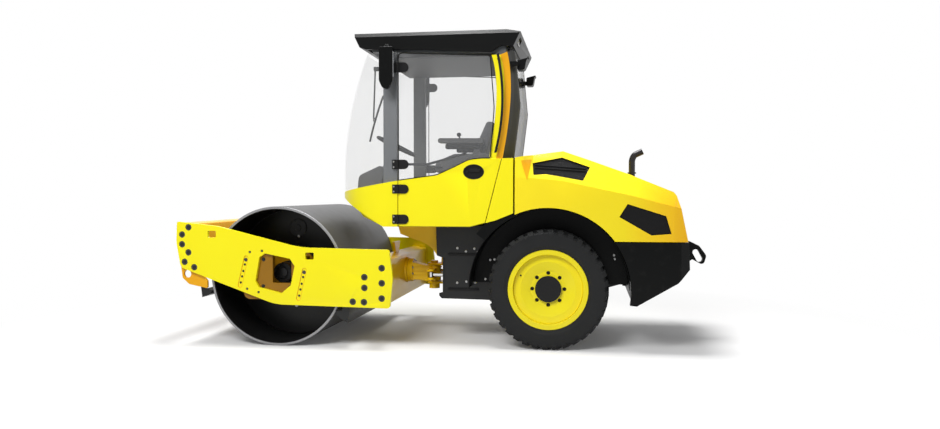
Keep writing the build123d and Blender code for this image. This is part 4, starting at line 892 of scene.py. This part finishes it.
# bars across the bonnet's vents, each from (x, z) to (x, z), and the catches at the tail
ventSizes = {"bars": (((-0.815, 1.576), (-1.245, 1.540)), ((-0.815, 1.552), (-1.245, 1.518))), "off": 0.004,
             "r": 0.006}
catchSizes = {"x": (-2.0885, -2.0745), "y": (0.375, 0.425), "z": (0.950, 1.020), "edge": 0.003, "r": 0.004,
              "pull": ((-2.080, 0.385, 0.985), (-2.0885, 0.385, 0.985), (-2.0885, 0.415, 0.985),
                       (-2.080, 0.415, 0.985))}
grille = surfaceTree("bonnet_grilles")
for label, side in sides.items():
    bars = [tube("bar", [onFlank(grille, *between(*line, t), side, ventSizes["off"]) for t in shares(12)],
                 ventSizes["r"], 6) for line in ventSizes["bars"]]
    keep(merged("vent_bars_" + label, bars), "blackPlastic", "bonnet_body")
    latch = block("catch", catchSizes["x"], [side * y for y in catchSizes["y"]], catchSizes["z"],
                  catchSizes["edge"])
    pull = tube("pull", mirrored(catchSizes["pull"], side), catchSizes["r"], 8)
    keep(merged("tail_catch_" + label, [latch, pull]), "blackPlastic", "bonnet_body")
print("bonnet fittings done")


# glasses: the front and the rear pane's depth and height
lampSizes = {"glasses": (((0.7352, 0.7382), 2.668), ((-0.6552, -0.6582), 2.655)), "y": 0.440,
             "half": (0.080, 0.025),
             "corners": ((-1, -0.7), (-0.9, -1), (0.9, -1), (1, -0.7),
                         (1, 0.7), (0.9, 1), (-0.9, 1), (-1, 0.7))}
for label, side in sides.items():
    y, (wide, high) = side * lampSizes["y"], lampSizes["half"]
    glasses = [slab("glass", [(y + a * wide, z + b * high) for a, b in lampSizes["corners"]], depths, "X")
               for depths, z in lampSizes["glasses"]]
    keep(merged("lamp_glass_" + label, glasses), "lampLens")
print("lamps done")


# padded seat parts: a smaller start shape blown up against its own cloth, with its travel capped
seatSizes = {"x": (-0.302, 0.142), "y": (-0.232, 0.232), "z": (1.528, 1.618), "edge": 0.022, "cap": 0.007,
             "cell": 0.006, "back": ((-0.215, 1.638), (-0.315, 1.638), (-0.420, 1.985), (-0.352, 1.998),
                                     (-0.200, 1.670)), "backY": (-0.222, 0.222), "backEdge": 0.018,
             "seam": ((-0.306, 0.146), (-0.235, 0.235), 1.573), "seamTurn": 0.03, "seamR": 0.004, "fill": 0.6}
airSizes = {"pressure": 4.0, "tension": 20.0, "frames": 20}


def puffed(piece, cap, cell):
    remesh = piece.modifiers.new("cells", "REMESH")
    remesh.mode = "VOXEL"
    remesh.voxel_size = cell
    baked(piece)
    cloth = piece.modifiers.new("air", "CLOTH")
    cloth.settings.use_pressure = True
    cloth.settings.uniform_pressure_force = airSizes["pressure"]
    cloth.settings.effector_weights.gravity = 0.0
    cloth.settings.tension_stiffness = airSizes["tension"]
    cloth.point_cache.frame_end = airSizes["frames"]
    for frameNumber in range(1, airSizes["frames"] + 1):
        bpy.context.scene.frame_set(frameNumber)
    grown = bpy.data.meshes.new_from_object(piece.evaluated_get(bpy.context.evaluated_depsgraph_get()))
    piece.modifiers.clear()
    for vertex, moved in zip(piece.data.vertices, grown.vertices):
        travel = moved.co - vertex.co
        vertex.co += travel.normalized() * min(travel.length, cap)
    bpy.context.scene.frame_set(1)
    fine = piece.modifiers.new("fine", "SUBSURF")
    fine.levels = fine.render_levels = 1
    baked(piece)
    piece.data.shade_smooth()
    return piece


cushion = block("seat_cushion_pad", seatSizes["x"], seatSizes["y"], seatSizes["z"], seatSizes["edge"], 3)
back = softened(slab("seat_back_pad", seatSizes["back"], seatSizes["backY"]), seatSizes["backEdge"], 3)
for pad, node in ((cushion, "seat_cushion"), (back, "seat_back")):
    keep(puffed(pad, seatSizes["cap"], seatSizes["cell"]), "seatCloth", "rear_frame", node)
(x0, x1), (y0, y1), z = seatSizes["seam"]
seam = [(x, y, z) for x, y in ((x0, 0), (x0, y1), (x1, y1), (x1, y0), (x0, y0), (x0, 0))]
keep(tube("seat_piping", rounded(seam, seatSizes["seamTurn"]), seatSizes["seamR"], 6), "blackPlastic")
print("seat done")


# armrests, and a drive lever beside the right one
controlSizes = {"x": (-0.30, 0.02), "y": (0.262, 0.338), "z": (1.735, 1.785), "edge": 0.016,
                "bracket": ((-0.31, 0.226, 1.66), (-0.30, 0.285, 1.68), (-0.27, 0.300, 1.745)),
                "bracketR": 0.012,
                "lever": ((-0.02, -0.300, 1.775), (-0.016, -0.300, 1.845), (-0.002, -0.300, 1.905)),
                "leverTurn": 0.03, "leverR": 0.008, "knobPlace": (-0.001, 1.913),
                "knob": ((0.0, -0.322), (0.012, -0.319), (0.021, -0.308), (0.021, -0.292), (0.012, -0.281),
                         (0.0, -0.278))}
for label, side in sides.items():
    pad = block("arm_pad", controlSizes["x"], [side * y for y in controlSizes["y"]], controlSizes["z"],
                controlSizes["edge"], 4)
    bracket = tube("bracket", mirrored(controlSizes["bracket"], side), controlSizes["bracketR"])
    keep(merged("armrest_" + label, [pad, bracket]), "blackPlastic")
stick = tube("stick", rounded(controlSizes["lever"], controlSizes["leverTurn"]), controlSizes["leverR"])
knob = lathe("knob", controlSizes["knob"], controlSizes["knobPlace"], 1, 20)
keep(merged("drive_lever", [stick, knob]), "blackPlastic")
print("controls done")


# bolts on the chassis and fenders, and the closing strip between the wheel arch and the cab
archSizes = {"centre": (-0.930, 0.513), "r": (0.686, 0.778), "y": (0.600, 0.626), "turn": (37, 88),
             "steps": 16,
             "bolts": ((-0.098, 0.838), (-0.176, 0.808), (-0.253, 0.834), (-0.287, 0.805), (-0.095, 0.523),
                       (-0.180, 0.535), (-0.260, 0.528), (-0.398, 0.735), (-0.437, 0.740), (-0.355, 0.562),
                       (-1.492, 0.790), (-1.499, 0.757))}
lowered = [surfaceTree(node) for node in ("chassis", "rear_body", "fender_left", "fender_right")]
for label, side in sides.items():
    boltRow("fender_bolts_" + label, "boltSteel", "rear_frame", bolt(0.009, 0.006, 1.3), [
        (outermost(lowered, x, z, side), (0, side, 0)) for x, z in archSizes["bolts"]])
    (x, z), (start, end) = archSizes["centre"], archSizes["turn"]
    turns = [math.radians(start + (end - start) * t) for t in shares(archSizes["steps"])]
    inner, outer = [[(x + r * math.cos(a), z + r * math.sin(a)) for a in turns] for r in archSizes["r"]]
    keep(slab("arch_apron_" + label, inner + outer[::-1], [side * y for y in archSizes["y"]]),
         "bodyBlack")
print("chassis fittings done")


# two toothed treads on the frame's side, and the bolts round the pivot's flange
treadSizes = {"x": (-0.292, -0.012), "levels": (0.456, 0.772), "z": (0.0, 0.016), "deep": 0.014,
              "edge": 0.002, "teeth": 15, "tooth": (-0.005, 0.005), "toothZ": (0.014, 0.022)}
flangeSizes = {"x": 0.383, "centre": (0, 0.601), "r": 0.094, "bolts": 10}
for label, side in sides.items():
    x0, x1 = treadSizes["x"]
    bars = []
    for level in treadSizes["levels"]:
        wall = outermost(lowered, (x0 + x1) / 2, level, side).y
        depth = (wall, wall + side * treadSizes["deep"])
        bars.append(block("bar", (x0, x1), depth, [level + z for z in treadSizes["z"]],
                          treadSizes["edge"], 1))
        for k in range(treadSizes["teeth"]):
            x = x0 + (x1 - x0) * (k + 0.5) / treadSizes["teeth"]
            bars.append(block("tooth", [x + off for off in treadSizes["tooth"]], depth,
                              [level + z for z in treadSizes["toothZ"]]))
    keep(merged("side_treads_" + label, bars), "blackPlastic")
boltRow("flange_bolts", "boltSteel", "yoke_body", bolt(0.009, 0.008), [
    ((flangeSizes["x"], y, z), (-1, 0, 0)) for y, z in
    circle(flangeSizes["centre"], flangeSizes["r"], flangeSizes["bolts"], 0.5)])
print("treads and flange done")


# the raised edge at the front of the bonnet's upper vents, in the shaded yellow:
# its near and its far line, each from the top to the foot
facetSizes = {"near": ((-0.700, 1.612), (-0.752, 1.447)), "far": ((-0.786, 1.622), (-0.754, 1.447)),
              "steps": 8, "columns": 4, "off": 0.005, "thick": 0.001}
skin = surfaceTree("bonnet")
for label, side in sides.items():
    rows = []
    for t in shares(facetSizes["steps"]):
        start, end = between(*facetSizes["near"], t), between(*facetSizes["far"], t)
        rows.append([onFlank(skin, *between(start, end, u), side, facetSizes["off"])
                     for u in shares(facetSizes["columns"])])
    keep(strip("vent_facet_" + label, rows, facetSizes["thick"], (0, -side, 0), ("amberYellow",)),
         "amberYellow", "bonnet_body")
print("bonnet facets done")


exhaustSizes = {"path": ((-1.650, 0.200, 1.450), (-1.650, 0.200, 1.630), (-1.668, 0.200, 1.672),
                         (-1.742, 0.200, 1.706)), "turn": 0.06, "outer": 0.028, "inner": 0.026, "steps": 28,
                "collar": ((0.0, 0.0), (0.038, 0.0), (0.038, 0.012), (0.0, 0.012)),
                "collarPlace": (-1.650, 0.200, 1.508)}
route = rounded(exhaustSizes["path"], exhaustSizes["turn"], 6)
outer = tube("pipe", route, exhaustSizes["outer"], exhaustSizes["steps"], False)
inner = tube("bore", route[1:], exhaustSizes["inner"], exhaustSizes["steps"], False)
collar = lathe("collar", exhaustSizes["collar"], (0.0, 0.0), 1, exhaustSizes["steps"])
for vertex in collar.data.vertices:
    x, y, z = vertex.co
    vertex.co = Vector(exhaustSizes["collarPlace"]) + Vector((x, z, y))
keep(merged("exhaust_pipe", [outer, inner, collar]), "exhaustSteel", "bonnet_body", "exhaust")
print("exhaust done")


# the lining under the roof, the mirrors' glass and the rubber round the doors' panes
liningSizes = {"x": (-0.52, 0.56), "y": (-0.572, 0.572), "z": (2.522, 2.530)}
mirrorSizes = {"x": (0.3885, 0.3905), "y": (0.742, 0.778), "z": (2.33, 2.55)}
sealSizes = {"y": 0.6468, "r": 0.0045, "turn": 0.04,
             "edge": ((0.376, 1.448), (0.035, 1.493), (-0.123, 1.564), (-0.246, 1.624), (-0.346, 1.636),
                      (-0.424, 1.636), (-0.433, 1.645), (-0.467, 2.070), (-0.432, 2.502), (-0.416, 2.516),
                      (0.376, 2.558), (0.376, 1.448))}
lining = slab("lining", rectangle(liningSizes["x"], liningSizes["y"]), liningSizes["z"], "Z")
keep(lining, "darkTrim")
for label, side in sides.items():
    path = rounded([(x, side * sealSizes["y"], z) for x, z in sealSizes["edge"]], sealSizes["turn"], 3)
    keep(tube("door_seal_" + label, path, sealSizes["r"], 6), "sealRubber", "door_%s_body" % label)
    outline = rectangle([side * y for y in mirrorSizes["y"]], mirrorSizes["z"])
    keep(slab("mirror_glass_" + label, outline, mirrorSizes["x"], "X"), "mirrorGlass")
print("lining, mirrors and seals done")


# the floor keeps the shadow near the machine and is seen as pure white further off;
# lift is the share of pure white that it has everywhere
stageSizes = {"reach": (-60.0, 60.0), "whiteFrom": 2.4, "whiteTo": 4.6, "lift": 0.04, "skyLight": 0.19,
              "floorSeen": 0.9, "floorLit": 0.4}
floorShape = bmesh.new()
floorShape.faces.new([floorShape.verts.new((x, y, 0.0))
                      for x, y in rectangle(stageSizes["reach"], stageSizes["reach"])])
floor = meshObject("floor", floorShape, None)


def sightRays(r):
    # 1 for rays from the lens, mirrored or passed through glass
    rays = [r.node("ShaderNodeLightPath", None, None, name) for name in
            ("Is Camera Ray", "Is Glossy Ray", "Is Transmission Ray")]
    return r.join("MAXIMUM", r.join("MAXIMUM", rays[0], rays[1]), rays[2])


def paleFloor():
    r = Recipe("paleFloor", Roughness=0.9)
    far = r.node("ShaderNodeVectorMath", {"operation": "LENGTH"}, {0: r.place}, "Value")
    fade = r.ramp(far * 0.1, stageSizes["whiteFrom"] / 10, stageSizes["whiteTo"] / 10)  # a ramp reads 0 to 1
    lit, seen = [(stageSizes[key],) * 3 for key in ("floorLit", "floorSeen")]
    r.feed(r.shader.inputs["Base Color"], r.mix(sightRays(r), lit, seen))
    blend = r.node("ShaderNodeMixShader", None, {
        0: sightRays(r) * (fade * (1 - stageSizes["lift"]) + stageSizes["lift"]),
        1: Signal(r, r.shader.outputs[0]), 2: r.node("ShaderNodeEmission", None, {"Color": (1, 1, 1, 1)})})
    r.feed(r.tree.nodes["Material Output"].inputs["Surface"], blend)
    return r.material


floor.data.materials.append(paleFloor())

world = bpy.data.worlds.new("studio")
bpy.context.scene.world = world
world.use_nodes = True
sky = NodeTree(world.node_tree)
dim = sky.tree.nodes["Background"]
dim.inputs["Color"].default_value = (1, 1, 1, 1)
dim.inputs["Strength"].default_value = stageSizes["skyLight"]
white = sky.node("ShaderNodeBackground", None, {"Color": (1, 1, 1, 1), "Strength": 1.0})
seenSky = sky.node("ShaderNodeMixShader", None, {0: sightRays(sky), 1: Signal(sky, dim.outputs[0]), 2: white})
sky.feed(sky.tree.nodes["World Output"].inputs["Surface"], seenSky)


def softLamp(name, place, aim, size, power, shines=True):
    # a lamp with an even rectangular face; one that doesn't shine leaves no highlight on gloss
    data = bpy.data.lights.new(name, "AREA")
    data.shape = "RECTANGLE"
    data.size, data.size_y = size
    data.energy = power
    lamp = bpy.data.objects.new(name, data)
    bpy.context.scene.collection.objects.link(lamp)
    lamp.location = place
    lamp.rotation_euler = (Vector(aim) - Vector(place)).to_track_quat("-Z", "Y").to_euler()
    lamp.visible_glossy = shines


softLamp("topBox", (0.2, 0.2, 7.0), (0, 0, 0.8), (3.0, 2.2), 540)
softLamp("nearBox", (2.2, 7.4, 7.0), (0, 0, 1.0), (5, 3), 690, False)
softLamp("rearBox", (-7.5, 2.5, 4.0), (-0.6, 0, 1.2), (5, 5), 60)
softLamp("farBox", (1.0, -7.5, 6.0), (0, 0, 1.0), (8, 5), 60)

cameraSizes = {"place": (-1.2618, 7.1738, 1.3243), "way": (0.1521, -0.9880, -0.0264), "sensor": 36.0,
               "lens": 29.28}
camera = bpy.data.objects.new("camera", bpy.data.cameras.new("camera"))
bpy.context.scene.collection.objects.link(camera)
bpy.context.scene.camera = camera
camera.location = cameraSizes["place"]
camera.rotation_euler = Vector(cameraSizes["way"]).to_track_quat("-Z", "Y").to_euler()
camera.data.sensor_width = cameraSizes["sensor"]
camera.data.lens = cameraSizes["lens"]
bpy.context.scene.view_settings.view_transform = "Standard"
print("stage and lens set")
